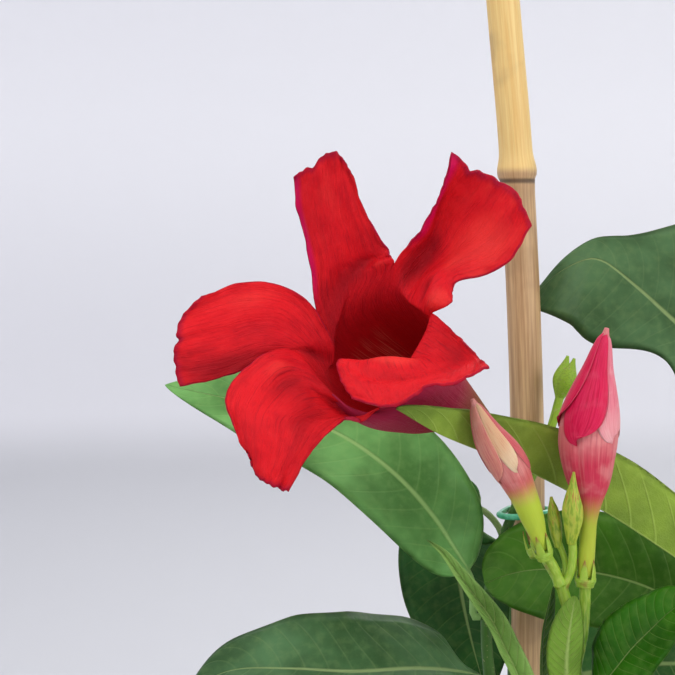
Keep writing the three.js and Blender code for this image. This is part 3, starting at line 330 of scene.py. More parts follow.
# The leaves that the flower and the buds stand among, each with a shape of its own.
SHAPED_LEAVES = {
    "leaf_crossing": {
        "on": "vine_right", "tint": "8CA836", "veins": 0.45, "rib": 0.04, "stalk": 0.014, "width": 0.0295,
        "up": (0.24, 0.28, 0.93), "fold": 68, "wave": 0.0005, "belly": 0.42,
        "midrib": [
            (0.057, -0.033, 0.264), (0.046, -0.038, 0.2795), (0.028, -0.041, 0.292),
            (0.0105, -0.0445, 0.3035), (-0.007, -0.051, 0.3135), (-0.0225, -0.0585, 0.321),
            (-0.0345, -0.069, 0.327), (-0.046, -0.081, 0.3345),
        ],
    },
    # This leaf's tint is partly its own grey-green and partly painted sheen.
    "leaf_upper_right": {
        "on": "vine_right", "tint": "4B6D44", "veins": 0.12, "rib": 0.035, "stalk": 0.016, "width": 0.046,
        "up": (0.05, -0.92, 0.38), "fold": -4, "wave": 0.0003, "belly": 0.26, "lopsided": 0.5,
        "steady": 0.85,
        "midrib": [
            (0.061, -0.008, 0.328), (0.055, -0.0035, 0.334), (0.047, 0.001, 0.3415), (0.037, 0.004, 0.35),
            (0.029, 0.006, 0.3575), (0.0245, 0.0075, 0.3615), (0.021, 0.0085, 0.3645),
            (0.0175, 0.0095, 0.367), (0.014, 0.01, 0.368), (0.01, 0.0105, 0.367), (0.0045, 0.011, 0.364),
            (-0.001, 0.0115, 0.359), (-0.005, 0.0115, 0.355),
        ],
    },
    # This leaf's tint is partly its own green and partly painted sheen, which greys it.
    "leaf_left_large": {
        "on": "vine_main", "tint": "71AB5C", "veins": 0.18, "rib": 0.05, "stalk": 0.016, "width": 0.0355,
        "up": (0.15, -0.8, 0.6), "fold": 10, "wave": 0.0008, "belly": 0.36,
        "midrib": [
            (-0.017, -0.006, 0.267), (-0.022, -0.0085, 0.277), (-0.0255, -0.009, 0.284),
            (-0.033, -0.01, 0.296), (-0.0445, -0.009, 0.3085), (-0.0605, -0.004, 0.319),
            (-0.0855, 0.006, 0.326), (-0.1105, 0.012, 0.331),
        ],
    },
    "leaf_bottom_left": {
        "on": "vine_main", "tint": "4A7146", "veins": 0.15, "rib": 0.05, "stalk": 0.012, "width": 0.037,
        "up": (0, -0.55, 0.83), "fold": 12, "wave": 0.001, "belly": 0.45,
        "midrib": [
            (-0.0155, -0.0045, 0.244), (-0.02, -0.018, 0.252), (-0.025, -0.027, 0.256),
            (-0.038, -0.036, 0.2595), (-0.056, -0.041, 0.26), (-0.073, -0.04, 0.2605),
            (-0.088, -0.036, 0.259), (-0.1, -0.032, 0.253),
        ],
    },
    "leaf_hanging": {
        "on": "vine_back", "tint": "2C5C26", "veins": 0.2, "rib": 0.05, "stalk": 0.022, "width": 0.037,
        "up": (-0.3, -0.9, 0.2), "fold": 10, "wave": 0.0005, "belly": 0.38,
        "midrib": [
            (-0.007, 0.01, 0.278), (-0.012, 0.016, 0.288), (-0.0175, 0.021, 0.293),
            (-0.0215, 0.025, 0.2915), (-0.0235, 0.028, 0.283), (-0.0225, 0.03, 0.268),
            (-0.019, 0.031, 0.251), (-0.014, 0.032, 0.233),
        ],
    },
    "leaf_behind_bunch": {
        "on": "vine_right", "tint": "427419", "veins": 0.2, "rib": 0.03, "stalk": 0.014, "width": 0.035,
        "up": (-0.1, -0.8, 0.6), "fold": 10, "wave": 0.0008, "belly": 0.6,
        "midrib": [
            (0.056, -0.032, 0.25), (0.051, -0.0295, 0.261), (0.045, -0.0275, 0.268),
            (0.0345, -0.025, 0.274), (0.0245, -0.0235, 0.279), (0.0135, -0.022, 0.282),
            (0.003, -0.0205, 0.283), (-0.0065, -0.0185, 0.2825), (-0.014, -0.017, 0.2805),
            (-0.019, -0.016, 0.278),
        ],
    },
    "leaf_right_glossy": {
        "on": "flower_shoot", "tint": "2A6800", "veins": 0.3, "rib": 0.022, "stalk": 0.005, "width": 0.0195,
        "up": (-0.4, -0.75, 0.5), "fold": 12, "wave": 0.0008, "belly": 0.45,
        "midrib": [
            (0.002, -0.051, 0.257), (0.006, -0.0545, 0.2585), (0.0095, -0.0575, 0.2635),
            (0.0145, -0.06, 0.271), (0.019, -0.062, 0.2765), (0.024, -0.064, 0.282),
            (0.03, -0.0665, 0.2865),
        ],
    },
    "leaf_young_front": {
        "on": "flower_shoot", "tint": "84B436", "veins": 1, "rib": 0.16, "stalk": 0.004, "width": 0.0105,
        "up": (-0.1, 0.9, 0.4), "fold": 24, "wave": 0.0003, "belly": 0.5,
        "midrib": [
            (0.002, -0.051, 0.257), (0.0005, -0.0575, 0.2585), (-0.002, -0.061, 0.264),
            (-0.002, -0.0635, 0.275), (-0.0006, -0.064, 0.2855),
        ],
    },
    "leaf_young_side": {
        "on": "flower_shoot", "tint": "3A661A", "veins": 0.6, "rib": 0.08, "stalk": 0.004, "width": 0.008,
        "up": (0.8, -0.5, 0.3), "fold": 20, "wave": 0.0002, "belly": 0.5,
        "midrib": [
            (0.001, -0.046, 0.246), (-0.004, -0.0485, 0.25), (-0.0068, -0.052, 0.259),
            (-0.0072, -0.0545, 0.273), (-0.005, -0.0555, 0.286),
        ],
    },
    "leaf_folded": {
        "on": "flower_shoot", "tint": "90B860", "veins": 0.7, "rib": 0.1, "stalk": 0.006, "width": 0.011,
        "up": (0.22, -0.97, 0.13), "fold": 58, "wave": 0.0003, "belly": 0.4,
        "midrib": [
            (-0.0005, -0.043, 0.2415), (-0.007, -0.049, 0.246), (-0.0115, -0.054, 0.255),
            (-0.014, -0.0575, 0.2635), (-0.018, -0.06, 0.272), (-0.021, -0.062, 0.2785),
            (-0.025, -0.064, 0.2845), (-0.03, -0.066, 0.2915), (-0.034, -0.067, 0.297),
            (-0.038, -0.068, 0.3005),
        ],
    },
}

# What stands in each calyx cup: its radius there, and how far the sepals lean out.
CALYX_FITS = {
    "left_bud": {"inner": 0.0018, "lean": 0.12},
    "right_bud": {"inner": 0.0021, "lean": 0.03},
    "open_flower": {"inner": 0.0025, "lean": 0.1},
}

# Each node of leaves: its stem, height, first heading, length, width, first slope, droop, headings from the
# first one, and how far the leaves are turned about their midribs towards the front.
LEAF_PAIRS = [
    ("vine_main", 0.152, -112, 0.084, 0.038, 30, 60, [0], 0),
    ("vine_main", 0.188, 196, 0.082, 0.038, 22, 52, [0], 0),
    ("vine_main", 0.216, 236, 0.078, 0.036, 4, 44, [0], 0),
    ("vine_back", 0.15, 120, 0.086, 0.04, 26, 60, [0, 90], 0),
    ("vine_back", 0.184, 80, 0.084, 0.038, 26, 55, [0], 0),
    ("vine_back", 0.24, 6, 0.084, 0.04, 22, 44, [0], 55),
    ("vine_right", 0.15, -60, 0.08, 0.036, 26, 60, [0, 110], 0),
    ("vine_right", 0.192, 0, 0.082, 0.036, 22, 56, [0], 0),
    ("vine_right", 0.228, -75, 0.08, 0.036, 10, 50, [0], 0),
    ("vine_right", 0.266, -40, 0.078, 0.034, 24, 50, [0, 90], 0),
    ("vine_right", 0.31, 0, 0.074, 0.034, 30, 46, [0, 90], 0),
    ("vine_right", 0.342, 20, 0.072, 0.034, 36, 46, [0], 0),
    ("vine_right", 0.356, 16, 0.044, 0.018, 50, 30, [0, -95], 0),
]
# How strong a leaf's side veins are and how wide its midrib is, unless it has its own.
LEAF_MARKS = {"veins": 0.4, "rib": 0.05}
PAIR_LOOK = {"fold": 12, "wave": 0.0012, "belly": 0.42}
PAIR_GREENS = ["3F7636", "47803A", "3A6C34", "4F883E"]

VINE_PIECES = {"vine_main": "main_stem", "vine_back": "back_stem", "vine_right": "right_stem"}
TIP_LENGTH = 0.013
TIP_SPREAD = 0.0028
TIP_RADII = [0.0009, 0.0026, 0.0004]
TIP_FLATNESS = 0.45
CALYX_CUP = 0.0022
CALYX_FLARE = 0.0005
SEPALS = 5
SEPAL_LENGTH = 0.006
SEPAL_WIDTH = 0.0024
SEPAL_BEND = 0.0007
SEPAL_HALF = 0.00024
SEPAL_CURL = 0.00025
SEPAL_SUNK = 0.0008
CONE_RADII = [0.0005, 0.0004, 0.0004, 0.0009, 0.0012, 0.0009, 0.0003]

TARGET = Vector((-0.06, -0.06, 0.35))
DISTANCE = 0.43
ELEVATION = 4
SENSOR = 36
VIEW_WIDTH = 0.16875
LAMPS = [
    ("key", (-0.9, -1.3, 1.5), 1.1, 10),
    ("fill", (1.3, -1.1, 0.7), 1.0, 9),
    ("back", (0.6, 1.2, 1.4), 0.8, 6),
]

# The middle of the flower's mouth, where the mouth looks to, and where its far side lies from there.
MOUTH = Vector((-0.048, -0.062, 0.3485))
FACING = Vector((-0.53, -0.71, 0.475))
FAR_SIDE = Vector((-0.515, 0.714, 0.471))
# Where each lobe starts and the last ring is dented, in degrees round the mouth; the dent is a share of
# the ring's radius.
LOBE_STARTS = [-40, 42, 115, 185, 250]
DENT_MIDDLE = 292
DENT_SPREAD = 36
DENT_SHARE = 0.2

# Soft folds of the petals: lobe, place across and out along it, reach across and along, painted shade
# (painted light where below nought) and lift.
PETAL_FOLDS = [
    (0, 0.4, 6.5, 0.4, 0.8, 0.68, -0.00064),
    (0, 0.84, 6.45, 0.13, 0.4, -0.52, 0.00128),
    (0, 0.68, 7.2, 0.1, 0.6, 0.38, -0.0008),
    (0, 0.95, 8.4, 0.14, 0.9, 0.3, -0.00048),
    (0, 0.4, 9.2, 0.3, 0.6, -0.18, 0.00064),
    (1, 0.3, 6.7, 0.18, 0.9, 0.75, -0.00096),
    (1, 0.28, 7.8, 0.13, 0.8, 0.6, -0.00096),
    (1, 0.14, 8.9, 0.09, 0.7, 0.52, -0.00064),
    (1, 0.72, 6.7, 0.06, 0.5, 0.75, -0.00128),
    (1, 0.9, 6.7, 0.1, 0.5, -0.52, 0.0016),
    (1, 0.72, 8.8, 0.25, 0.8, -0.22, 0.0008),
    (2, 0.68, 7.05, 0.16, 0.3, -0.68, 0.00176),
    (2, 0.3, 7.6, 0.16, 0.9, 0.45, -0.0008),
    (2, 0.02, 8.6, 0.1, 1.2, 0.45, 0),
    (2, 0.7, 8, 0.2, 0.4, 0.33, -0.0008),
    (3, 0.8, 7.1, 0.09, 0.45, -0.45, 0.00176),
    (3, 0.67, 7, 0.06, 0.8, 0.45, -0.00096),
    (3, 0.63, 6.2, 0.07, 0.5, -0.22, 0.00112),
    (3, 0.4, 5.9, 0.25, 0.4, 0.75, -0.00064),
    (3, 0.35, 7.6, 0.1, 0.9, 0.38, -0.00064),
    (3, 0.5, 9, 0.25, 0.7, -0.15, 0.00064),
    (4, 0.12, 9, 0.2, 1.3, 0.6, -0.0006),
    (3, 0.45, 8.4, 0.5, 1.6, 0.22, 0),
    (1, 0.65, 8.8, 0.35, 1.2, -0.3, 0),
    (4, 0.5, 6.2, 0.4, 0.35, 0.68, -0.00064),
    (4, 0.4, 8.2, 0.14, 0.7, 0.22, -0.0008),
    (4, 0.7, 8.6, 0.18, 0.8, -0.22, 0.0008),
]
# Nicks in the petals' ends: lobe, place across, reach, and depth in rows.
PETAL_NICKS = [
    (0, 0.3, 0.05, 0.12), (0, 0.5, 0.04, 0.06), (1, 0.22, 0.05, 0.1), (4, 0.5, 0.04, 0.09),
    (4, 0.2, 0.04, 0.08),
]
END_CRINKLE = 0.05
SIDE_CRINKLE = 0.022
MARGIN_RUFFLE = 0.0013
PETAL_SWELL = 0.0004
PETAL_THICKNESS = 0.0005


# Small helpers

def smooth(low, high, x):
    t = min(1, max(0, (x - low) / (high - low)))
    return t * t * (3 - 2 * t)


def mixed(a, b, share):
    return a + (b - a) * share


def catmull(a, b, c, d, t):
    """The smooth curve from b to c, with a before them and d behind, at t from 0 to 1."""
    slope_b = (c - a) / 2
    slope_c = (d - b) / 2
    square = 3 * (c - b) - 2 * slope_b - slope_c
    cube = 2 * (b - c) + slope_b + slope_c
    return b + slope_b * t + square * t * t + cube * t * t * t


def along(values, t):
    """A value between a list's entries, at t from 0 to 1, on a smooth curve."""
    last = len(values) - 1
    place = min(last, max(0, t * last))
    i = min(last - 1, math.floor(place))
    nearby = [values[min(last, max(0, k))] for k in range(i - 1, i + 3)]
    return catmull(*nearby, place - i)


def linear(code):
    """The linear colour of a six-digit colour code."""
    parts = [int(code[i : i + 2], 16) / 255 for i in (0, 2, 4)]
    return [p / 12.92 if p < 0.04045 else ((p + 0.055) / 1.055) ** 2.4 for p in parts]


class Route:
    """A smooth line through points, read by its length from 0 to 1."""

    SAMPLES = 200
    NUDGE = 1e-4

    def __init__(self, points, closed=False):
        self.points = [Vector(p) for p in points]
        self.closed = closed
        places = [self.place(i / self.SAMPLES) for i in range(self.SAMPLES + 1)]
        self.reached = [0]
        for a, b in zip(places, places[1:]):
            self.reached.append(self.reached[-1] + (b - a).length)
        self.length = self.reached[-1]

    def corner(self, i):
        count = len(self.points)
        if self.closed:
            return self.points[i % count]
        if i < 0:
            return self.points[0] * 2 - self.points[1]
        if i >= count:
            return self.points[-1] * 2 - self.points[-2]
        return self.points[i]

    def place(self, t):
        count = len(self.points)
        spans = count if self.closed else count - 1
        i = min(spans - 1, math.floor(t * spans))
        share = t * spans - i
        a, b, c, d = [self.corner(i + k) for k in (-1, 0, 1, 2)]
        before, here, after = [math.sqrt((q - p).length) for p, q in ((a, b), (b, c), (c, d))]
        slope_b = ((b - a) / before - (c - a) / (before + here) + (c - b) / here) * here
        slope_c = ((c - b) / here - (d - b) / (here + after) + (d - c) / after) * here
        square = 3 * (c - b) - 2 * slope_b - slope_c
        cube = 2 * (b - c) + slope_b + slope_c
        return b + slope_b * share + square * share**2 + cube * share**3

    def share_at(self, t):
        wanted = min(1, max(0, t)) * self.length
        low, high = 0, self.SAMPLES
        while high - low > 1:
            middle = (low + high) // 2
            if self.reached[middle] <= wanted:
                low = middle
            else:
                high = middle
        span = self.reached[high] - self.reached[low]
        return (low + (wanted - self.reached[low]) / span) / self.SAMPLES

    def at(self, t):
        return self.place(self.share_at(t))

    def heading(self, t):
        share = self.share_at(t)
        low, high = max(0, share - self.NUDGE), min(1, share + self.NUDGE)
        return (self.place(high) - self.place(low)).normalized()


class Frames:
    """Directions across a route that turn as little as they can, for a section carried along it."""

    def __init__(self, route, steps, front=None):
        self.steps = steps
        self.places = [route.at(i / steps) for i in range(steps + 1)]
        self.headings = [route.heading(i / steps) for i in range(steps + 1)]
        first = self.headings[0]
        if front is None:
            front = min((Vector(axis) for axis in Matrix.Identity(3)), key=lambda axis: abs(axis.dot(first)))
        across = (front - first * front.dot(first)).normalized()
        self.sides = [across]
        for before, here in zip(self.headings, self.headings[1:]):
            across = before.rotation_difference(here) @ across
            self.sides.append((across - here * across.dot(here)).normalized())

    def at(self, t):
        """The place, the front side, the right side and the heading at t."""
        exact = min(1, max(0, t)) * self.steps
        i = min(self.steps - 1, math.floor(exact))
        share = exact - i
        heading = mixed(self.headings[i], self.headings[i + 1], share).normalized()
        across = mixed(self.sides[i], self.sides[i + 1], share).normalized()
        return mixed(self.places[i], self.places[i + 1], share), across, heading.cross(across), heading

    def beside(self, t, radius, angle):
        """A place at a distance from the route, at an angle round it."""
        middle, across, right = self.at(t)[:3]
        return middle + across * (radius * math.cos(angle)) + right * (radius * math.sin(angle))


def sheet(mesh, columns, rows, place, growth=None, finish=0):
    """Adds a grid whose corner at (u, v), both 0 to 1, goes to place(u, v).

    growth(u, v) gives the corner's place in the pattern map, and finish is the material's number on
    every face, or finish(u, v) gives each face's own.
    """
    layer = mesh.loops.layers.uv.get("growth") or mesh.loops.layers.uv.new("growth")
    made = bmesh.ops.create_grid(mesh, x_segments=columns, y_segments=rows, size=0.5)
    corners = made["verts"]
    for face in {face for corner in corners for face in corner.link_faces}:
        middle = face.calc_center_median()
        face.material_index = finish(middle.x + 0.5, middle.y + 0.5) if callable(finish) else finish
        for loop in face.loops:
            u, v = loop.vert.co.x + 0.5, loop.vert.co.y + 0.5
            loop[layer].uv = growth(u, v) if growth else (u, v)
    for corner in corners:
        corner.co = place(corner.co.x + 0.5, corner.co.y + 0.5)
    return corners


def tube(mesh, route, radius_at, sides, steps, front=None, finish=0):
    """Adds a closed round bar along a route; radius_at takes the place along it and the angle round it."""
    frames = Frames(route, steps, front)
    rows = steps + 2

    def place(u, v):
        row = round(v * rows)
        t = min(1, max(0, (row - 1) / steps))
        angle = math.tau * u
        return frames.beside(t, 0 if row in (0, rows) else radius_at(t, angle), angle)

    def growth(u, v):
        return u, min(1, max(0, (v * rows - 1) / steps))

    return sheet(mesh, sides, rows, place, growth, finish)


def mesh_data(mesh, name):
    """Turns a bmesh into the named mesh of an object."""
    data = bpy.data.meshes.new(name)
    mesh.to_mesh(data)
    mesh.free()
    return data


def placed(name, data):
    """Adds an object with this data to the scene."""
    thing = bpy.data.objects.new(name, data)
    bpy.context.scene.collection.objects.link(thing)
    return thing


def finish_piece(mesh, name, node, finishes):
    """Turns a bmesh into a finished piece that stands for a node of the frame."""
    bmesh.ops.remove_doubles(mesh, verts=mesh.verts, dist=1e-7)
    data = mesh_data(mesh, name)
    data.shade_smooth()
    for finish in finishes:
        data.materials.append(finish)
    piece = placed(name, data)
    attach(piece, "root")
    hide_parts(node)
    return piece


# Materials

def operators(operation):
    """A sum's two forms: with the value first, and with it second."""

    def forward(self, other):
        return self.math(operation, self, other)

    def reflected(self, other):
        return self.math(operation, other, self)

    return forward, reflected


class Value:
    """A number, colour or vector that a finish's nodes give; sums on it add Math nodes."""

    __add__, __radd__ = operators("ADD")
    __sub__, __rsub__ = operators("SUBTRACT")
    __mul__, __rmul__ = operators("MULTIPLY")
    __truediv__, __rtruediv__ = operators("DIVIDE")
    __pow__, __rpow__ = operators("POWER")

    def __init__(self, finish, socket):
        self.finish = finish
        self.socket = socket

    def __abs__(self):
        return self.math("ABSOLUTE", self)

    def math(self, operation, *values):
        return self.finish.add("ShaderNodeMath", {"operation": operation}, dict(enumerate(values)))

    def fract(self):
        return self.math("FRACT", self)

    def most(self, other):
        return self.math("MAXIMUM", self, other)

    def between(self, low, high):
        """0 at low and 1 at high, smoothly."""
        settings = {"interpolation_type": "SMOOTHSTEP"}
        return self.finish.add("ShaderNodeMapRange", settings, {0: self, 1: low, 2: high, 3: 0, 4: 1})


class Finish:
    """One procedural material: its shader, the nodes that feed it, and its patterns."""

    def __init__(self, name, **constants):
        self.material = bpy.data.materials.new(name)
        self.material.use_nodes = True
        self.tree = self.material.node_tree
        self.shader = self.tree.nodes["Principled BSDF"]
        for socket, value in constants.items():
            self.shader.inputs[socket.replace("_", " ").title().replace("Ior", "IOR")].default_value = value

    def feed(self, socket, value):
        """Joins a value to a socket, or sets the socket to a number, a colour or a colour's code."""
        if isinstance(value, Value):
            self.tree.links.new(value.socket, socket)
        elif socket.type == "RGBA":
            colour = linear(value) if isinstance(value, str) else value
            socket.default_value = (*colour[:3], 1)
        else:
            socket.default_value = value

    def add(self, kind, settings, sockets, output=0):
        """Adds a node with its settings, then the values or links of its sockets."""
        node = self.tree.nodes.new(kind)
        for setting, value in settings.items():
            setattr(node, setting, value)
        for socket, value in sockets.items():
            self.feed(node.inputs[socket], value)
        return Value(self, node.outputs[output])

    def mix(self, share, first, second, blend="MIX"):
        settings = {"data_type": "RGBA", "blend_type": blend}
        return self.add("ShaderNodeMix", settings, {0: share, 6: first, 7: second}, output=2)

    def object_place(self, stretch=(1, 1, 1)):
        """The place on the object in metres, stretched by a factor along each axis."""
        place = self.add("ShaderNodeTexCoord", {}, {}, output=3)
        return self.add("ShaderNodeVectorMath", {"operation": "MULTIPLY"}, {0: place, 1: stretch})

    def part(self, place, axis):
        """One number of a place: 0 for x, 1 for y and 2 for z."""
        return self.add("ShaderNodeSeparateXYZ", {}, {0: place}, output=axis)

    def growth(self):
        """The piece's own map: across or round it, and along it."""
        place = self.add("ShaderNodeUVMap", {"uv_map": "growth"}, {})
        return self.part(place, 0), self.part(place, 1)

    def attribute(self, name):
        """A number that the piece has at each of its corners."""
        return self.add("ShaderNodeAttribute", {"attribute_name": name}, {}, output=2)

    def joined(self, x, y, z=0):
        return self.add("ShaderNodeCombineXYZ", {}, {0: x, 1: y, 2: z})

    def noise(self, place, scale, detail=3, roughness=0.5):
        sockets = {"Vector": place, "Scale": scale, "Detail": detail, "Roughness": roughness}
        return self.add("ShaderNodeTexNoise", {}, sockets)

    def cells(self, place, scale, feature="F1"):
        return self.add("ShaderNodeTexVoronoi", {"feature": feature}, {"Vector": place, "Scale": scale})

    def dress(self, colour, roughness=None, relief=None, depth=0.0002):
        """Joins the worked-out colour, roughness and relief to the shader."""
        self.feed(self.shader.inputs["Base Color"], colour)
        if roughness is not None:
            self.feed(self.shader.inputs["Roughness"], roughness)
        if relief is not None:
            bump = self.add("ShaderNodeBump", {}, {"Strength": 1, "Distance": depth, "Height": relief})
            self.feed(self.shader.inputs["Normal"], bump)
        return self.material


SOFT_SKIN = {
    "specular_ior_level": 0.2, "subsurface_weight": 0.12, "subsurface_scale": 0.002, "sheen_weight": 0.05,
}


def clay_finish(look):
    clay = Finish("fired_clay", specular_ior_level=0.3)
    place = clay.object_place()
    blotch = clay.noise(place, 22, 4)
    grain = clay.noise(place, 900, 3, 0.6)
    colour = clay.mix(blotch.between(0.35, 0.7), "9C4F2C", look.clay)
    colour = clay.mix(grain.between(0.45, 0.75) * 0.35, colour, "D79468")
    height = clay.part(place, 2)
    bloom = clay.noise(clay.object_place((1, 1, 2.2)), 45, 5, 0.62)
    chalk = bloom.between(0.5, 0.68) * height.between(0.11, 0.03) * 0.6
    colour = clay.mix(chalk, colour, "DCC9B4")
    rings = clay.noise(clay.object_place((0.3, 0.3, 9)), 60, 2)
    return clay.dress(colour, 0.82 + grain * 0.12, rings * 0.5 + grain * 0.25 + blotch * 0.3, 0.0006)


def soil_finish():
    soil = Finish("peat", specular_ior_level=0.2)
    place = soil.object_place()
    grain = soil.noise(place, 420, 5, 0.7)
    patch = soil.noise(place, 45, 3)
    colour = soil.mix(grain.between(0.35, 0.65), "1E140E", "4A3526")
    colour = soil.mix(patch.between(0.45, 0.7) * 0.4, colour, "5B4330")
    return soil.dress(colour, 0.95, grain + patch, 0.0012)


def perlite_finish():
    crumb = Finish("perlite", roughness=0.9)
    grain = crumb.noise(crumb.object_place(), 1500, 3)
    return crumb.dress(crumb.mix(grain, "BDB7A8", "F2EFE6"), 0.85, grain, 0.0002)


def bamboo_finish(look):
    cane = Finish("bamboo", coat_weight=0.15, coat_roughness=0.3)
    round_it, along_it = cane.growth()
    place = cane.object_place()
    height = cane.part(place, 2)
    streaks = cane.noise(cane.joined(round_it * 16, along_it * 7), 1.6, 4, 0.65)
    fibres = cane.noise(cane.joined(round_it * 90, along_it * 14), 1.5, 3, 0.6)
    blotch = cane.noise(place, 60, 3)
    upper = height.between(CANE_NODES[2] - 0.001, CANE_NODES[2] + 0.0015)
    golden = cane.mix(streaks.between(0.3, 0.7), look.cane, "E9CB83")
    tan = cane.mix(streaks.between(0.3, 0.72), "A67E54", "D0AC7C")
    colour = cane.mix(upper, tan, golden)
    colour = cane.mix(fibres.between(0.52, 0.78) * 0.22, colour, "7A5A3A")
    colour = cane.mix(blotch.between(0.52, 0.68) * 0.3, colour, "8A6A48")
    rings = None
    for node in CANE_NODES:
        ring = 1 - abs(height - (node - GROOVE_BELOW_NODE)).between(0.0002, 0.0011)
        rings = ring if rings is None else rings.most(ring)
    colour = cane.mix(rings * 0.85, colour, "4E3826")
    return cane.dress(colour, 0.42 + fibres * 0.2, fibres + streaks * 0.6, 0.00012)


def stem_finish(look):
    stem = Finish("stem_bark", specular_ior_level=0.4)
    round_it, along_it = stem.growth()
    place = stem.object_place()
    height = stem.part(place, 2)
    streaks = stem.noise(stem.joined(round_it * 10, along_it * 30), 1.4, 3)
    freckles = stem.noise(place, 900, 2)
    old = height.between(0.23, 0.14)
    colour = stem.mix(old, look.stem, "7B6444")
    young = height.between(0.296, 0.318)
    colour = stem.mix(young, colour, look.shoot)
    colour = stem.mix(streaks.between(0.45, 0.75) * 0.4, colour, "2E421A")
    colour = stem.mix(freckles.between(0.62, 0.72) * 0.5, colour, "A89B6E")
    return stem.dress(colour, 0.5, streaks + freckles * 0.4, 0.00015)


def shoot_finish(look):
    shoot = Finish("young_shoot", subsurface_weight=0.15, subsurface_scale=0.002)
    round_it, along_it = shoot.growth()
    place = shoot.object_place()
    height = shoot.part(place, 2)
    streaks = shoot.noise(shoot.joined(round_it * 12, along_it * 5), 1.6, 3)
    patches = shoot.noise(place, 260, 3)
    colour = shoot.mix(height.between(0.268, 0.292), "4F7A16", look.shoot)
    colour = shoot.mix(streaks.between(0.4, 0.7) * 0.35, colour, "C4D468")
    colour = shoot.mix(patches.between(0.62, 0.74) * 0.5, colour, "8A4A26")
    return shoot.dress(colour, 0.38 + streaks * 0.15, streaks, 0.00008)


def sepal_finish(look):
    """Sepals: v runs from 1 at their base to 2 at their brown tips."""
    sepal = Finish("sepals", subsurface_weight=0.1, subsurface_scale=0.001)
    up = sepal.growth()[1]
    patches = sepal.noise(sepal.object_place(), 500, 3)
    colour = sepal.mix(patches.between(0.4, 0.7) * 0.5, look.shoot, "B9C24E")
    colour = sepal.mix((up + patches * 0.3).between(1.75, 2.15), colour, "8A3E1E")
    return sepal.dress(colour, 0.45, patches, 0.0001)


def green_bud_finish():
    bud = Finish("green_bud", subsurface_weight=0.12, subsurface_scale=0.001)
    round_it, up = bud.growth()
    streaks = bud.noise(bud.joined(round_it * 12, up * 4), 1.6, 3)
    colour = bud.mix(streaks.between(0.35, 0.6), "7E9C1C", "B4C040")
    colour = bud.mix(streaks.between(0.52, 0.66) * up.between(0.2, 0.8) * 0.7, colour, "9A3A20")
    return bud.dress(colour, 0.45, streaks, 0.0001)


def bud_finish(name, body, foot, foot_top, body_low):
    """A closed bud's body: its foot's colour gives way to the petals' with fine streaks along it."""
    bud = Finish(name, **SOFT_SKIN)
    round_it, along_it = bud.growth()
    streaks = bud.noise(bud.joined(round_it * 34, along_it * 1.6), 1.7, 3, 0.6)
    wash = bud.noise(bud.object_place(), 160, 3)
    share = (along_it + streaks * 0.06 - 0.03).between(foot_top, body_low)
    colour = bud.mix(share, foot, body)
    pale = bud.mix(0.7, body, "ECB8AC")
    colour = bud.mix(share * wash.between(0.45, 0.7) * 0.4, colour, pale)
    colour = bud.mix(along_it.between(0.46, 0.58) * 0.4, colour, pale)
    colour = bud.mix(share * streaks.between(0.5, 0.7) * 0.3, colour, pale)
    dark = bud.mix(0.5, body, "5A0818", "MULTIPLY")
    colour = bud.mix(share * streaks.between(0.48, 0.3) * 0.35, colour, dark)
    return bud.dress(colour, 0.42 + streaks * 0.16, streaks, 0.00006)


def bud_lobe_finish(name, body, edge, pale, flush, foot_highlight):
    """The rolled petals over a bud: u runs across the petal, and v from its foot to the tip."""
    lobe = Finish(name, **SOFT_SKIN)
    across, up = lobe.growth()
    streaks = lobe.noise(lobe.joined(across * 18, up * 2.4), 1.6, 4, 0.6)
    wash = lobe.noise(lobe.object_place(), 260, 3)
    colour = lobe.mix(streaks.between(0.42, 0.68) * 0.6, body, edge)
    colour = lobe.mix(streaks.between(0.5, 0.32) * 0.55, colour, flush)
    colour = lobe.mix(up.between(0.45, 1) * 0.35, colour, edge)
    colour = lobe.mix(wash.between(0.52, 0.72) * 0.15, colour, pale)
    # Painted highlight towards the petal's foot, where light shines through it.
    colour = lobe.mix(up.between(0.42, 0.12) * foot_highlight, colour, pale)
    rim = abs(across - 0.5).between(0.46, 0.495)
    colour = lobe.mix(rim * 0.4, colour, pale)
    return lobe.dress(colour, 0.4 + streaks * 0.15, streaks, 0.0001)


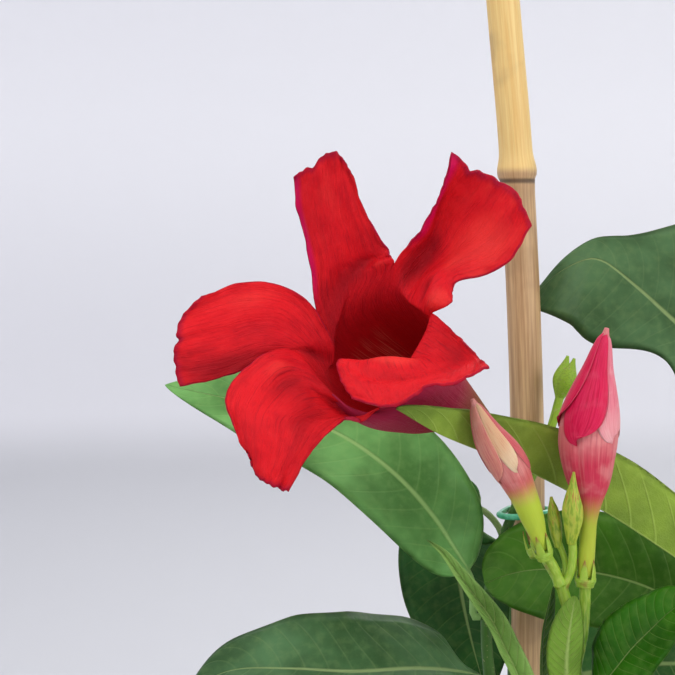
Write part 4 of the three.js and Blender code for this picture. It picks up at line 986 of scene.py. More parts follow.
def petal_finish(name, look, inner):
    """The open flower: u counts the lobes clockwise, and v runs from the calyx to the margin."""
    petal = Finish(
        name, specular_ior_level=0.14, subsurface_weight=0.08, subsurface_scale=0.0012, sheen_weight=0.05
    )
    petal.feed(petal.shader.inputs["Sheen Tint"], "FF4A50")
    around, out = petal.growth()
    shade = petal.attribute("shade")
    across = (around * 5).fract()
    from_middle = abs(across - 0.5) * 2
    place = petal.object_place()
    wander = petal.noise(place, 90, 2) * 0.012
    # Fine veins fan out from the throat and fork towards the margin.
    fan = petal.noise(petal.joined((around + wander) * 300, out * 9), 1, 2, 0.55)
    forks = petal.noise(petal.joined((around + wander) * 520, out * 26), 1, 2, 0.6)
    wash = petal.noise(place, 75, 4, 0.6)
    mottle = petal.noise(place, 380, 3, 0.6)
    velvet = petal.noise(place, 1800, 2)
    folds = petal.noise(petal.joined((around + wander) * 60, out * 5), 1, 3)
    if inner:
        colour = petal.mix(wash.between(0.35, 0.65), look.petal, "D8141E")
        colour = petal.mix(mottle.between(0.45, 0.75) * 0.22, colour, "E42A2E")
        colour = petal.mix(mottle.between(0.48, 0.28) * 0.2, colour, "A00618")
        # Painted shade in the valleys of the fold relief.
        colour = petal.mix(folds.between(0.5, 0.32) * 0.3, colour, "9C0416")
        veined = out.between(0.96, 0.66) * 0.4 + 0.15
        colour = petal.mix(fan.between(0.55, 0.68) * veined, colour, "8A0216")
        colour = petal.mix(forks.between(0.58, 0.72) * out.between(0.62, 0.8) * 0.22, colour, "96041A")
        # Painted shade where the shade attribute is above nought, painted light where it is below.
        colour = petal.mix(shade.between(0.02, 0.75) * 0.75, colour, "8A0212")
        colour = petal.mix(shade.between(-0.02, -0.6) * 0.5, colour, "F04038")
        # Painted shade from the deep throat, spreading onto the lobes' bases.
        colour = petal.mix(out.between(0.62, 0.45) * 0.55, colour, "8A0008")
        colour = petal.mix(out.between(0.54, 0.42), colour, look.throat)
        ridge = fan.between(0.48, 0.6) * out.between(0.385, 0.405) * out.between(0.475, 0.445)
        ridge = ridge * around.between(0.04, 0.07) * around.between(0.18, 0.14)
        colour = petal.mix(ridge * 0.55, colour, "D8604C")
        left_rim = across.between(0.14, 0.04) * out.between(0.68, 0.78) * around.between(0.4, 0.38)
        colour = petal.mix(left_rim * 0.8, colour, look.rim)
        margin = from_middle.between(0.96, 0.995).most(out.between(0.982, 0.998)) * out.between(0.66, 0.72)
        colour = petal.mix(margin * (mottle.between(0.3, 0.6) * 0.4 + 0.4), colour, "90042C")
    else:
        colour = petal.mix(wash.between(0.35, 0.7), "A81430", "C02440")
        colour = petal.mix(fan.between(0.54, 0.7) * 0.5, colour, "7A0A30")
        colour = petal.mix(out.between(0.66, 0.5), colour, "98183A")
        colour = petal.mix(out.between(0.4, 0.2), colour, "8A8440")
    relief = fan * 0.7 + forks * 0.35 + folds * 0.9 + mottle * 0.6 + velvet * 0.12
    return petal.dress(colour, 0.5 + velvet * 0.18, relief, 0.0004)


def leaf_finish(name, look, upper):
    """A leaf's blade: u runs across it and v from its base to its tip.

    The leaf carries its own green in "tint", how strong its side veins are in "veins",
    and how wide its midrib is in "rib".
    """
    leaf = Finish(name, specular_ior_level=0.14, coat_weight=0.03 if upper else 0, coat_roughness=0.2)
    across, up = leaf.growth()
    aside = abs(across - 0.5) * 2
    tint = leaf.add("ShaderNodeVertexColor", {"layer_name": "tint"}, {})
    veins, midrib_width = leaf.attribute("veins"), leaf.attribute("rib")
    place = leaf.object_place()
    left = (across - 0.5).between(-0.001, 0.001)
    # Side veins leave the midrib in turn, bend towards the tip and fade at the margin.
    bend = up - aside**1.35 * 0.13 + left * 0.021
    vein = abs((bend * 15).fract() - 0.5) * 2
    side_vein = vein.between(0.84, 1) * up.between(0.01, 0.06) * aside.between(1, 0.7) * veins
    quilt = vein**2 * (veins * 0.7 + 0.3)
    fine = leaf.cells(leaf.joined(across * 40, up * 110), 1, "DISTANCE_TO_EDGE").between(0.12, 0) * veins
    rib_share = aside / (midrib_width * (1.3 - up))
    midrib = rib_share.between(1.2, 0.35).most(up.between(0.02, -0.01))
    wash = leaf.noise(place, 55, 3)
    mottle = leaf.noise(place, 420, 3)
    deep = leaf.mix(1, tint, "AAB6A0", "MULTIPLY")
    light = leaf.mix(veins * 0.35 + 0.15, tint, look.vein)
    colour = leaf.mix(wash.between(0.3, 0.7), deep, tint)
    colour = leaf.mix(mottle.between(0.4, 0.75) * 0.15, colour, light)
    colour = leaf.mix(fine * 0.14, colour, light)
    colour = leaf.mix(side_vein * 0.9, colour, light)
    colour = leaf.mix(aside.between(0.965, 0.995) * (veins * 0.5 + 0.2), colour, light)
    rib_colour = leaf.mix(veins * 0.3 + 0.3, tint, "C9D98C")
    colour = leaf.mix(midrib * 0.75, colour, rib_colour)
    if upper:
        relief = 1 - midrib * 0.6 - side_vein * 0.6 - quilt * 0.5 - fine * 0.1 + wash * 0.8
        return leaf.dress(colour, 0.34 + mottle * 0.16, relief, 0.0004)
    pale = leaf.mix(0.14, colour, look.underside)
    relief = midrib * 0.4 + side_vein * 0.9 + fine * 0.25 + quilt * 0.25
    return leaf.dress(pale, 0.55 + mottle * 0.15, relief, 0.00035)


def anther_finish():
    cone = Finish("anthers", subsurface_weight=0.1, subsurface_scale=0.001)
    grain = cone.noise(cone.object_place(), 1500, 3)
    return cone.dress(cone.mix(grain, "D8C878", "F0E8B8"), 0.6, grain, 0.0001)


def tie_finish(look):
    tie = Finish("soft_tie", coat_weight=0.3, coat_roughness=0.2)
    wash = tie.noise(tie.object_place(), 500, 2)
    return tie.dress(tie.mix(wash.between(0.3, 0.7), look.tie, "58BE92"), 0.35, wash, 0.00008)


def stage_finish(look):
    stage = Finish("pale_backdrop", roughness=0.9, specular_ior_level=0.1)
    place = stage.object_place()
    height = stage.part(place, 2)
    side = stage.part(place, 0)
    # Painted shade: the backdrop is darker at the bend and darker still on the floor.
    colour = stage.mix(height.between(-0.02, 0.06), look.floor, look.bend)
    colour = stage.mix(height.between(0.08, 0.6), colour, look.backdrop)
    # Painted light: the backdrop is lightened towards the right, which the lamps from the left reach less.
    colour = stage.mix(side.between(-0.9, 0.9) * 0.25, colour, "FFFFFF")
    return stage.dress(colour)


# Pot and soil

RIM_FOOT = POT_HEIGHT - RIM_HEIGHT
SHOULDER = RIM_FOOT - 0.004
RIM_INSIDE = RIM_RADIUS - RIM_STEP - RIM_WALL


def body_radius(z):
    return BASE_RADIUS + (BODY_RADIUS - BASE_RADIUS) * z / RIM_FOOT


SHOULDER_INSIDE = body_radius(RIM_FOOT) - POT_WALL


def rounded(outline, radius, segments=4):
    """An outline with its inner corners replaced by arcs."""
    points = [Vector((*outline[0], 0))]
    corners = [Vector((*p, 0)) for p in outline]
    for before, corner, after in zip(corners, corners[1:], corners[2:]):
        back, ahead = before - corner, after - corner
        reach = min(radius, back.length * 0.45, ahead.length * 0.45)
        start, end = corner + back.normalized() * reach, corner + ahead.normalized() * reach
        for i in range(segments + 1):
            t = i / segments
            points.append(start * (1 - t) ** 2 + corner * 2 * t * (1 - t) + end * t**2)
    points.append(corners[-1])
    return [(p.x, p.y) for p in points]


def spun(mesh, outline, steps):
    """Spins an outline of (radius, height) points round the pot's axis."""
    corners = [mesh.verts.new((radius, 0, z)) for radius, z in outline]
    edges = [mesh.edges.new(pair) for pair in zip(corners, corners[1:])]
    whole = {"cent": (0, 0, 0), "axis": (0, 0, 1), "angle": math.tau, "use_merge": True}
    bmesh.ops.spin(mesh, geom=[*corners, *edges], steps=steps, **whole)
    bmesh.ops.remove_doubles(mesh, verts=mesh.verts, dist=1e-6)
    bmesh.ops.recalc_face_normals(mesh, faces=mesh.faces)


def build_pot(look):
    inner_foot = body_radius(POT_FLOOR) - POT_WALL
    outline = [
        (0, 0),
        (BASE_RADIUS, 0),
        (BODY_RADIUS, RIM_FOOT),
        (RIM_RADIUS, RIM_FOOT),
        (RIM_RADIUS + POT_EDGE / 2, POT_HEIGHT),
        (RIM_INSIDE, POT_HEIGHT),
        (SHOULDER_INSIDE, SHOULDER),
        (inner_foot, POT_FLOOR),
        (0, POT_FLOOR),
    ]
    mesh = bmesh.new()
    spun(mesh, rounded(outline, POT_EDGE), steps=120)
    pot = finish_piece(mesh, "clay_pot", "pot", [clay_finish(look)])
    drills = bmesh.new()
    for i in range(DRAINS):
        angle = math.tau * i / DRAINS
        place = Matrix.Translation((DRAIN_RING * math.cos(angle), -DRAIN_RING * math.sin(angle), 0))
        size = {"radius1": DRAIN_RADIUS, "radius2": DRAIN_RADIUS, "depth": POT_FLOOR * 4}
        bmesh.ops.create_cone(drills, cap_ends=True, segments=32, matrix=place, **size)
    drill_data = mesh_data(drills, "drain_drills")
    drill = placed("drain_drills", drill_data)
    cut = pot.modifiers.new("drains", "BOOLEAN")
    cut.operation = "DIFFERENCE"
    cut.object = drill
    with bpy.context.temp_override(object=pot, active_object=pot, selected_objects=[pot]):
        bpy.ops.object.modifier_apply(modifier=cut.name)
    bpy.data.objects.remove(drill)
    bpy.data.meshes.remove(drill_data)
    pot.data.shade_smooth()


def soil_radius(z):
    """The soil's radius at a height: it fills the pot, clear of its wall."""
    if z < SHOULDER:
        return body_radius(z) - POT_WALL - SOIL_GAP
    share = (z - SHOULDER) / (POT_HEIGHT - POT_EDGE - SHOULDER)
    return SHOULDER_INSIDE + (RIM_INSIDE - SHOULDER_INSIDE) * share - SOIL_GAP


def soil_height(x, y):
    """The soil's top: a low dome with lumps of peat."""
    reach = 1 - math.hypot(x, y) / soil_radius(SOIL_LEVEL)
    lump = SOIL_LUMP * math.sin(x * 210 + 1.3 * math.sin(y * 170))
    lump = lump * math.cos(y * 240 + 0.9 * math.sin(x * 130))
    rough = noise.fractal(Vector((x, y, 0)) * 260, 0.6, 2.2, 4) * SOIL_ROUGH
    return SOIL_LEVEL + smooth(0, 1, reach) * SOIL_DOME + (lump + rough) * smooth(0, 0.2, reach)


def build_soil(look):
    top_radius = soil_radius(SOIL_LEVEL)
    margin = 0.004
    mesh = bmesh.new()

    def top(u, v):
        radius, angle = top_radius * (1 - v), math.tau * u
        x, y = radius * math.cos(angle), radius * math.sin(angle)
        return Vector((x, y, soil_height(x, y)))

    def side(u, v):
        z = SOIL_FOOT + (SOIL_LEVEL - SOIL_FOOT) * v
        radius = 0 if v < 0.01 else soil_radius(z) - margin * smooth(0.12, 0, v)
        return Vector((radius * math.cos(math.tau * u), radius * math.sin(math.tau * u), z))

    sheet(mesh, 144, 60, top)
    sheet(mesh, 144, 20, side)
    draw = random.Random(7)
    for _ in range(look.crumbs):
        angle, radius = draw.uniform(0, math.tau), (top_radius - margin) * math.sqrt(draw.random())
        x, y = radius * math.cos(angle), radius * math.sin(angle)
        perlite = draw.random() < PERLITE_SHARE
        size = draw.uniform(*(PERLITE_SIZES if perlite else CRUMB_SIZES))
        turn = Matrix.Rotation(draw.uniform(0, math.pi), 4, Vector((draw.random(), draw.random(), 0.3)))
        squash = Matrix.Diagonal((size, size * draw.uniform(0.6, 0.9), size * draw.uniform(0.5, 0.8), 1))
        place = Matrix.Translation((x, y, soil_height(x, y) + size * 0.15)) @ turn @ squash
        crumb = bmesh.ops.create_icosphere(mesh, subdivisions=1, radius=1, matrix=place)
        for face in {face for corner in crumb["verts"] for face in corner.link_faces}:
            face.material_index = 1 if perlite else 0
    finish_piece(mesh, "potting_soil", "soil", [soil_finish(), perlite_finish()])


# Cane, vines and ties

def cane_radius(z):
    swell = sum(math.exp(-(((z - node) / NODE_REACH) ** 2)) for node in CANE_NODES)
    groove = sum(math.exp(-(((z - node + GROOVE_BELOW_NODE) / GROOVE_REACH) ** 2)) for node in CANE_NODES)
    return CANE_RADIUS + NODE_SWELL * swell - GROOVE_DEPTH * groove


CANE = Route(CANE_ROUTE)


def build_cane(look):
    steps = 420
    frames = Frames(CANE, steps)
    depth_rows = 8
    cut_edge = 0.00025
    rows = steps + depth_rows + 3

    def place(u, v):
        row = round(v * rows)
        angle = math.tau * u
        t = min(1, max(0, (row - 1) / steps))
        middle, across, right, heading = frames.at(t)
        radius = 0
        if row not in (0, rows):
            radius = cane_radius(middle.z) * (1 + 0.012 * math.sin(2 * angle + 9 * t))
        if row == steps + 1:
            radius -= cut_edge
        if row > steps + 1:
            sunk = (row - steps - 2) / (depth_rows + 1)
            middle = middle - heading * (PITH_DEPTH * sunk)
            radius = min(radius, CANE_PITH)
        return middle + across * (radius * math.cos(angle)) + right * (radius * math.sin(angle))

    mesh = bmesh.new()
    sheet(mesh, 36, rows, place)
    finish_piece(mesh, "bamboo_cane", "cane", [bamboo_finish(look)])


CARRIERS = {name: (Route(vine["route"]), vine["foot"], vine["tip"]) for name, vine in VINES.items()}


def point_at_height(route, z):
    """The first point of a route, from its foot, that is as high as z."""
    samples = 400
    for i in range(samples):
        place = route.at(i / samples)
        if place.z >= z:
            return place
    return route.at(1)


def nearest_on(route, point, samples):
    """How far along a route, 0 to 1, it comes nearest to a point."""
    return min(range(samples + 1), key=lambda i: (route.at(i / samples) - point).length) / samples


def seat(on, hint, towards):
    """Where something leaves a stem towards a point: a place clear of the stem, and one further out."""
    route, foot, tip = CARRIERS[on]
    nearest = nearest_on(route, hint, samples=300)
    middle, heading = route.at(nearest), route.heading(nearest)
    out = towards - middle
    out = (out - heading * out.dot(heading)).normalized()
    clear = foot + (tip - foot) * nearest + LEAF_GAP
    return [middle + out * reach for reach in (clear, clear + FOOT_LENGTH)]


SHOOT_ROUTE = [Vector(p) for p in SHOOT["axis"]]
SHOOT_ROUTE = [*seat("vine_main", SHOOT_ROUTE[0], SHOOT_ROUTE[1]), *SHOOT_ROUTE[1:]]
CARRIERS["flower_shoot"] = (Route(SHOOT_ROUTE), SHOOT["foot"], SHOOT["tip"])


def leaf_pairs():
    """The leaves by rule: what each grows on, its midrib from the stem to the tip, its stalk and width."""
    leaves = []
    inside_stem = 0.005
    for on, height, turn, length, width, rise, droop, sides, roll in LEAF_PAIRS:
        root = point_at_height(CARRIERS[on][0], height)
        for side in sides:
            heading = math.radians(turn + side)
            out = Vector((math.cos(heading), math.sin(heading), 0))
            place = root + out * inside_stem
            stride = (length - inside_stem) / ARC_STEPS
            midrib = [root]
            for i in range(ARC_STEPS):
                pitch = math.radians(rise - droop * (i + 0.5) / ARC_STEPS)
                rise_here = Vector((0, 0, stride * math.sin(pitch)))
                place = place + out * (stride * math.cos(pitch)) + rise_here
                midrib.append(place)
            up = Vector((-0.25 * out.x, -0.25 * out.y, 1))
            up.rotate(Quaternion(out, math.radians(roll)))
            form = {"on": on, "midrib": midrib, "stalk": length * 0.1, "width": width, "up": up}
            leaves.append({**form, **PAIR_LOOK})
    return leaves


def knot_swelling(name, reach, height):
    """A stem's swelling at t, 0 to 1 along it, where its leaves leave it."""
    route = CARRIERS[name][0]
    roots = [Vector(leaf["midrib"][0]) for leaf in SHAPED_LEAVES.values() if leaf["on"] == name]
    roots += [leaf["midrib"][0] for leaf in leaf_pairs() if leaf["on"] == name]
    knots = [nearest_on(route, root, samples=200) for root in roots]

    def swelling(t):
        swell = sum(math.exp(-(((t - knot) * route.length / reach) ** 2)) for knot in knots)
        return height * min(1, swell)

    return swelling


def build_vine(name, piece_name, look):
    route, foot, tip = CARRIERS[name]
    swelling = knot_swelling(name, **VINE_KNOT)

    def radius_at(t, angle):
        waver = 0.03 * math.sin(3 * angle + 40 * t) + 0.02 * math.sin(2 * angle - 90 * t)
        return (foot + (tip - foot) * t) * (1 + waver) + swelling(t)

    def tip_radius(t, angle):
        return along(TIP_RADII, t) * (1 - TIP_FLATNESS * abs(math.sin(angle)) ** 0.8)

    mesh = bmesh.new()
    tube(mesh, route, radius_at, sides=18, steps=260)
    end, heading = route.at(0.985), route.heading(1)
    aside = Vector((1, 0.2, 0)).cross(heading).normalized()
    for side in (-1, 1):
        points = [end]
        for share in (0.5, 1):
            spread = side * TIP_SPREAD * (0.6 + 0.4 * share)
            points.append(end + heading * (TIP_LENGTH * share) + aside * spread)
        tube(mesh, Route(points), tip_radius, sides=16, steps=24)
    finish_piece(mesh, piece_name, name, [stem_finish(look)])


def build_ties(look):
    """Soft loops round the cane and the main vine."""
    finish = tie_finish(look)
    for name, height in TIE_HEIGHTS.items():
        rounds = [
            (point_at_height(CANE, height), cane_radius(height)),
            (point_at_height(CARRIERS["vine_main"][0], height), VINES["vine_main"]["foot"]),
        ]
        corners = []
        for i in range(TIE_POINTS):
            angle = math.tau * i / TIE_POINTS
            out = Vector((math.cos(angle), math.sin(angle), 0))
            middle, radius = max(rounds, key=lambda pair: pair[0].dot(out) + pair[1])
            place = middle + out * (radius + TIE_GAP + look.wire)
            corners.append(Vector((place.x, place.y, height)))
        loop = Route(corners, closed=True)

        def place_on_wire(u, v):
            middle = loop.at(v % 1)
            ahead = loop.heading(min(max(v % 1, 0.001), 0.999))
            out = ahead.cross(Vector((0, 0, 1))).normalized()
            angle = math.tau * u
            return middle + out * (look.wire * math.cos(angle)) + Vector((0, 0, look.wire * math.sin(angle)))

        mesh = bmesh.new()
        sheet(mesh, 14, 120, place_on_wire)
        finish_piece(mesh, "soft_" + name, name, [finish])


# Flowering shoot and buds

def calyx(mesh, base, towards, fit):
    """A small cup with pointed sepals standing round the base of a tube."""
    axis = (towards - base).normalized()
    inner, lean = fit["inner"], fit["lean"]
    cup = Route([base - axis * CALYX_CUP, base])
    wall = 0.0002

    def cup_radius(t, angle):
        return inner + wall + CALYX_FLARE * smooth(0, 0.8, t)

    tube(mesh, cup, cup_radius, sides=24, steps=10)
    turn = Vector((0, 0, 1)).rotation_difference(axis)
    for i in range(SEPALS):
        spin = Quaternion((0, 0, 1), math.tau * i / SEPALS + 0.3)

        def sepal(u, v):
            t = max(0, v * 1.06 - 0.06)
            half = SEPAL_WIDTH / 2 * (1 - t**1.8) * (0.75 + 0.25 * smooth(0, 0.2, t))
            angle = math.tau * u
            thick = SEPAL_HALF * (1 - 0.6 * t) * (0 if v == 0 else 1)
            out = inner + CALYX_FLARE * 0.86 + SEPAL_LENGTH * t * math.sin(lean) - SEPAL_BEND * t * t
            curl = -SEPAL_CURL * (math.sin(angle) ** 2) * (1 - t)
            away = out + thick * math.cos(angle) + curl
            place = Vector((half * math.sin(angle), away, -SEPAL_SUNK + SEPAL_LENGTH * t))
            return base + turn @ (spin @ place)

        sheet(mesh, 16, 18, sepal, growth=lambda u, v: (u, 1 + v), finish=1)


def build_shoot(look):
    mesh = bmesh.new()
    route, foot, tip = CARRIERS["flower_shoot"]
    swelling = knot_swelling("flower_shoot", **SHOOT_KNOT)

    def radius_at(t, angle):
        return (foot + (tip - foot) * t) * (1 + 0.03 * math.sin(3 * angle + 30 * t)) + swelling(t)

    tube(mesh, route, radius_at, sides=18, steps=140)
    for stalk in STALKS.values():

        def stalk_radius(t, angle):
            return stalk["radius"] * (1.22 - 0.3 * smooth(0, 0.25, t))

        tube(mesh, Route(stalk["route"]), stalk_radius, sides=16, steps=24)
    for bud in GREEN_BUDS:

        def bud_radius(t, angle):
            ridge = math.cos(5 * angle + 2.2 * t)
            return along(bud["widths"], t) / 2 * (1 + 0.05 * ridge * smooth(0.1, 0.4, t))

        tube(mesh, Route(bud["route"]), bud_radius, sides=30, steps=40, finish=2)
    towards = {
        "left_bud": Vector(BUDS["bud_left"]["route"][1]),
        "right_bud": Vector(BUDS["bud_right"]["route"][1]),
        "open_flower": Vector(RINGS[1]["middle"]) + MOUTH,
    }
    for name, fit in CALYX_FITS.items():
        calyx(mesh, Vector(STALKS[name]["route"][-1]), towards[name], fit)
    finishes = [shoot_finish(look), sepal_finish(look), green_bud_finish()]
    finish_piece(mesh, "flowering_shoot", "flower_shoot", finishes)


def build_bud(name, finishes):
    """A closed bud: its tube, and five petals rolled round each other, each over the next one's edge."""
    form = BUDS[name]
    route = Route(form["route"])
    front = Vector((0, -1, 0))
    frames = Frames(route, 80, front)
    mesh = bmesh.new()

    def radius_at(t, angle):
        groove = math.cos(5 * (angle - form["turn"]) + 0.6) * 0.012 * smooth(0.12, 0.4, t)
        crease = math.remainder(angle - form["turn"], math.tau) / BUD_CREASE
        groove -= 0.06 * math.exp(-crease * crease) * smooth(0.3, 0.5, t)
        return along(form["widths"], t) / 2 * (0.95 + groove)

    tube(mesh, route, radius_at, sides=90, steps=90, front=front)
    for i, cover in enumerate(form["petals"]):
        middle_angle = form["turn"] + i * math.tau / 5

        def petal(u, v):
            """u goes over the outer face and back under it; v runs from the petal's foot to the bud's tip."""
            outer = u <= 0.5
            s = 4 * u - 1 if outer else 3 - 4 * u
            foot_round = math.sqrt(max(0, 1 - (1 - min(1, v / cover["round"])) ** 2))
            half = cover["reach"] * foot_round * (1 - 0.25 * v)
            angle = middle_angle + half * s + form["twist"] * (v - 0.2)
            t = mixed(cover["foot"], 0.995, v) + form["skew"] * s * (1 - v)
            body = along(form["widths"], t) / 2
            lift = cover["lift"] * smooth(-1.1, 1, s) * (1 - 0.5 * v)
            edge = math.sqrt(max(0, 1 - s**8))
            radius = body * 0.97 + lift + (COVER_OUTSIDE if outer else -COVER_INSIDE) * edge
            radius = radius * smooth(1.02, 0.9, v) + body * 0.2 * smooth(0.9, 1.02, v)
            return frames.beside(t, radius, angle)

        def growth(u, v):
            return (2 * u if u <= 0.5 else 2 - 2 * u, v)

        sheet(mesh, 44, 60, petal, growth, finish=cover["finish"])
    finish_piece(mesh, form["piece"], name, finishes)


# The open flower

SINUS_ROW = len(RINGS)


def ring_point(ring, angle):
    middle = Vector(RINGS[ring]["middle"])
    before = Vector(RINGS[max(0, ring - 1)]["middle"])
    after = Vector(RINGS[min(len(RINGS) - 1, ring + 1)]["middle"])
    axis = (FACING if ring == len(RINGS) - 1 else after - before).normalized()
    far = (FAR_SIDE - axis * FAR_SIDE.dot(axis)).normalized()
    side = far.cross(axis)
    away = (math.degrees(angle) % 360 - DENT_MIDDLE) / DENT_SPREAD
    dent = DENT_SHARE * math.exp(-away * away) if ring == len(RINGS) - 1 else 0
    radius = RINGS[ring]["radius"] * (1 - dent)
    return middle + far * (radius * math.cos(angle)) + side * (radius * math.sin(angle))


def control_rows():
    """Every control row of each lobe's fifth of the flower, from the calyx to the margin."""
    fifths = []
    for k, rows in enumerate(LOBES.values()):
        start = math.radians(LOBE_STARTS[k])
        end = math.radians(LOBE_STARTS[(k + 1) % 5] + (360 if k == 4 else 0))
        rings = [[ring_point(ring, mixed(start, end, c / 4)) for c in range(5)] for ring in range(len(RINGS))]
        fifths.append([*rings, *[[Vector(p) for p in row] for row in rows]])
    return fifths


FIFTHS = control_rows()


def column_point(rows, column, v):
    """A column of a fifth at the height v, in rows. Below the notches neighbours share their edges."""
    low = min(len(rows) - 2, math.floor(v))
    here, following = rows[low][column], rows[low + 1][column]
    before = rows[low - 1][column] if low > 0 else here * 2 - following
    last = low + 2 >= len(rows) or (column in (0, 4) and low + 1 == SINUS_ROW)
    beyond = following * 2 - here if last else rows[low + 2][column]
    return catmull(before, here, following, beyond, v - low)


@functools.cache
def petal_row(k, v):
    """The seven places that shape one row of a lobe: its five columns and one beyond each side."""
    columns = [column_point(FIFTHS[k], c, v) for c in range(5)]
    free = smooth(SINUS_ROW - 0.8, SINUS_ROW, v)

    def outside(edge, inner, neighbour, column):
        open_side = edge * 2 - inner
        if v < SINUS_ROW:
            return mixed(column_point(FIFTHS[neighbour], column, v), open_side, free)
        return open_side

    left = outside(columns[0], columns[1], (k + 4) % 5, 3)
    right = outside(columns[4], columns[3], (k + 1) % 5, 1)
    return [left, *columns, right]


def petal_place(k, u, v):
    """A place on a lobe, whose free margins are cut a little unevenly."""
    last = len(FIFTHS[k]) - 1
    cut = END_CRINKLE * (0.4 + noise.noise(Vector((u * 13, k * 5.3, 0.7))))
    for lobe, across, reach, depth in PETAL_NICKS:
        if lobe == k:
            cut += depth * math.exp(-(((u - across) / reach) ** 2))
    v -= cut * smooth(last - 0.8, last, v)
    aside = 2 * u - 1
    free = smooth(0.75, 1, abs(aside)) * smooth(SINUS_ROW + 0.4, SINUS_ROW + 1.4, v)
    if free:
        wave = noise.noise(Vector((k * 3.1 + math.copysign(7, aside), v * 4.5, 0.3)))
        u = 0.5 + aside / 2 * (1 - free * SIDE_CRINKLE * (0.4 + wave))
    row = petal_row(k, v)
    span = min(3, max(0, math.floor(u * 4)))
    return catmull(*row[span : span + 4], u * 4 - span) + MOUTH


def petal_relief(k, u, v):
    """How far a place on a lobe is lifted off its plain form, and its painted shade, which is painted light
    below nought.
    """
    last = len(FIFTHS[k]) - 1
    lift = shade = 0
    for lobe, across, out, wide, long, dark, raised in PETAL_FOLDS:
        if lobe == k:
            share = math.exp(-(((u - across) / wide) ** 2) - ((v - out) / long) ** 2)
            lift += raised * share
            shade += dark * share
    side = smooth(0.7, 1, abs(2 * u - 1)) * smooth(SINUS_ROW + 0.3, SINUS_ROW + 1.4, v)
    edge = max(side, smooth(last - 0.9, last, v))
    coarse = noise.noise(Vector((u * 6 + k * 9.7, v * 1.7, 4.2)))
    fine = noise.noise(Vector((u * 19 + k * 5.1, v * 5, 1.7)))
    lift += MARGIN_RUFFLE * edge * (coarse + 0.4 * fine)
    swell = noise.noise(Vector((u * 5 + k * 3.3, v * 1.2, 8.1)))
    lift += PETAL_SWELL * swell * smooth(SINUS_ROW, SINUS_ROW + 1, v)
    # Painted shade and painted light that follow the ruffled margins and the swells of the blade.
    shade += 0.35 * edge * fine + 0.25 * swell * smooth(SINUS_ROW - 1, SINUS_ROW + 1, v)
    sewn = smooth(0, 0.2, min(u, 1 - u))
    return lift * mixed(sewn, 1, smooth(SINUS_ROW, SINUS_ROW + 0.4, v)), shade


def build_flower(look):
    mesh = bmesh.new()
    columns, steps_per_row = 44, 12
    shades = mesh.verts.layers.float.new("shade")
    lifts = mesh.verts.layers.float.new("lift")
    for k in range(5):
        last = len(FIFTHS[k]) - 1
        rows = last * steps_per_row

        def place(u, v):
            return petal_place(k, u, v * last)

        corners = sheet(mesh, columns, rows, place, lambda u, v: ((k + u) / 5, v * last / 10))
        for i, corner in enumerate(corners):
            u, v = (i % (columns + 1)) / columns, (i // (columns + 1)) / rows
            corner[lifts], corner[shades] = petal_relief(k, u, v * last)
    bmesh.ops.remove_doubles(mesh, verts=mesh.verts, dist=1e-6)
    mesh.normal_update()
    moves = [(corner, corner.normal * corner[lifts]) for corner in mesh.verts]
    for corner, move in moves:
        corner.co += move
    mesh.verts.layers.float.remove(lifts)
    finishes = [petal_finish("petal_face", look, True), petal_finish("petal_back", look, False)]
    flower = finish_piece(mesh, "open_flower", "corolla", finishes)
    wall = flower.modifiers.new("petal thickness", "SOLIDIFY")
    wall.thickness = look.thickness
    wall.offset = 0
    wall.material_offset = 1
    wall.material_offset_rim = 0


def build_anthers():
    foot, throat_tube, throat = [Vector(ring["middle"]) + MOUTH for ring in RINGS[:3]]
    route = Route([mixed(foot, throat_tube, 0.04), throat_tube, throat])

    def radius_at(t, angle):
        return along(CONE_RADII, t) * (1 + 0.12 * abs(math.cos(2.5 * angle)) * smooth(0.3, 0.5, t))

    mesh = bmesh.new()
    tube(mesh, route, radius_at, sides=30, steps=40)
    finish_piece(mesh, "anthers", "anther_cone", [anther_finish()])


# Leaves

def blade_width(t, belly):
    """Half the blade's width at t from its base to its tip, where the leaf's width is 1."""
    base = belly * BLADE_ROUNDNESS
    tip = BLADE_ROUNDNESS - base

    def shape(x):
        return max(0, x) ** base * max(0, 1 - x) ** tip

    return 0.5 * shape(t) / shape(belly)


def leaf_rows(form, stalk_rows, blade_rows):
    """A leaf's rows, each with its t, its middle and the ways aside and above, and how much of t is stalk."""
    points = [Vector(p) for p in form["midrib"]]
    route = Route([*seat(form["on"], points[0], points[1]), *points[1:]])
    base = form["stalk"] / route.length
    chord = (route.at(1) - route.at(base)).normalized()
    rows = []
    for row in range(stalk_rows + blade_rows + 2):
        if row <= stalk_rows + 1:
            t = base * max(0, row - 1) / stalk_rows
        else:
            share = (row - 1 - stalk_rows) / blade_rows
            t = base + (1 - base) * mixed(share, 0.5 - 0.5 * math.cos(math.pi * share), 0.6)
        steady = form.get("steady", 0) * smooth(-0.1, 0.2, (t - base) / (1 - base))
        ahead = mixed(route.heading(t), chord, steady)
        aside = ahead.cross(Vector(form["up"])).normalized()
        rows.append((t, route.at(t), aside, aside.cross(ahead).normalized()))
    return rows, base


def mark_leaf(leaf, form, tint):
    """Gives a leaf what its finish reads: its green, how strong its veins are and how wide its midrib is."""
    colours = leaf.data.color_attributes.new("tint", "FLOAT_COLOR", "POINT")
    for corner in colours.data:
        corner.color = (*linear(tint), 1)
    for mark, default in LEAF_MARKS.items():
        values = leaf.data.attributes.new(mark, "FLOAT", "POINT")
        for corner in values.data:
            corner.value = form.get(mark, default)


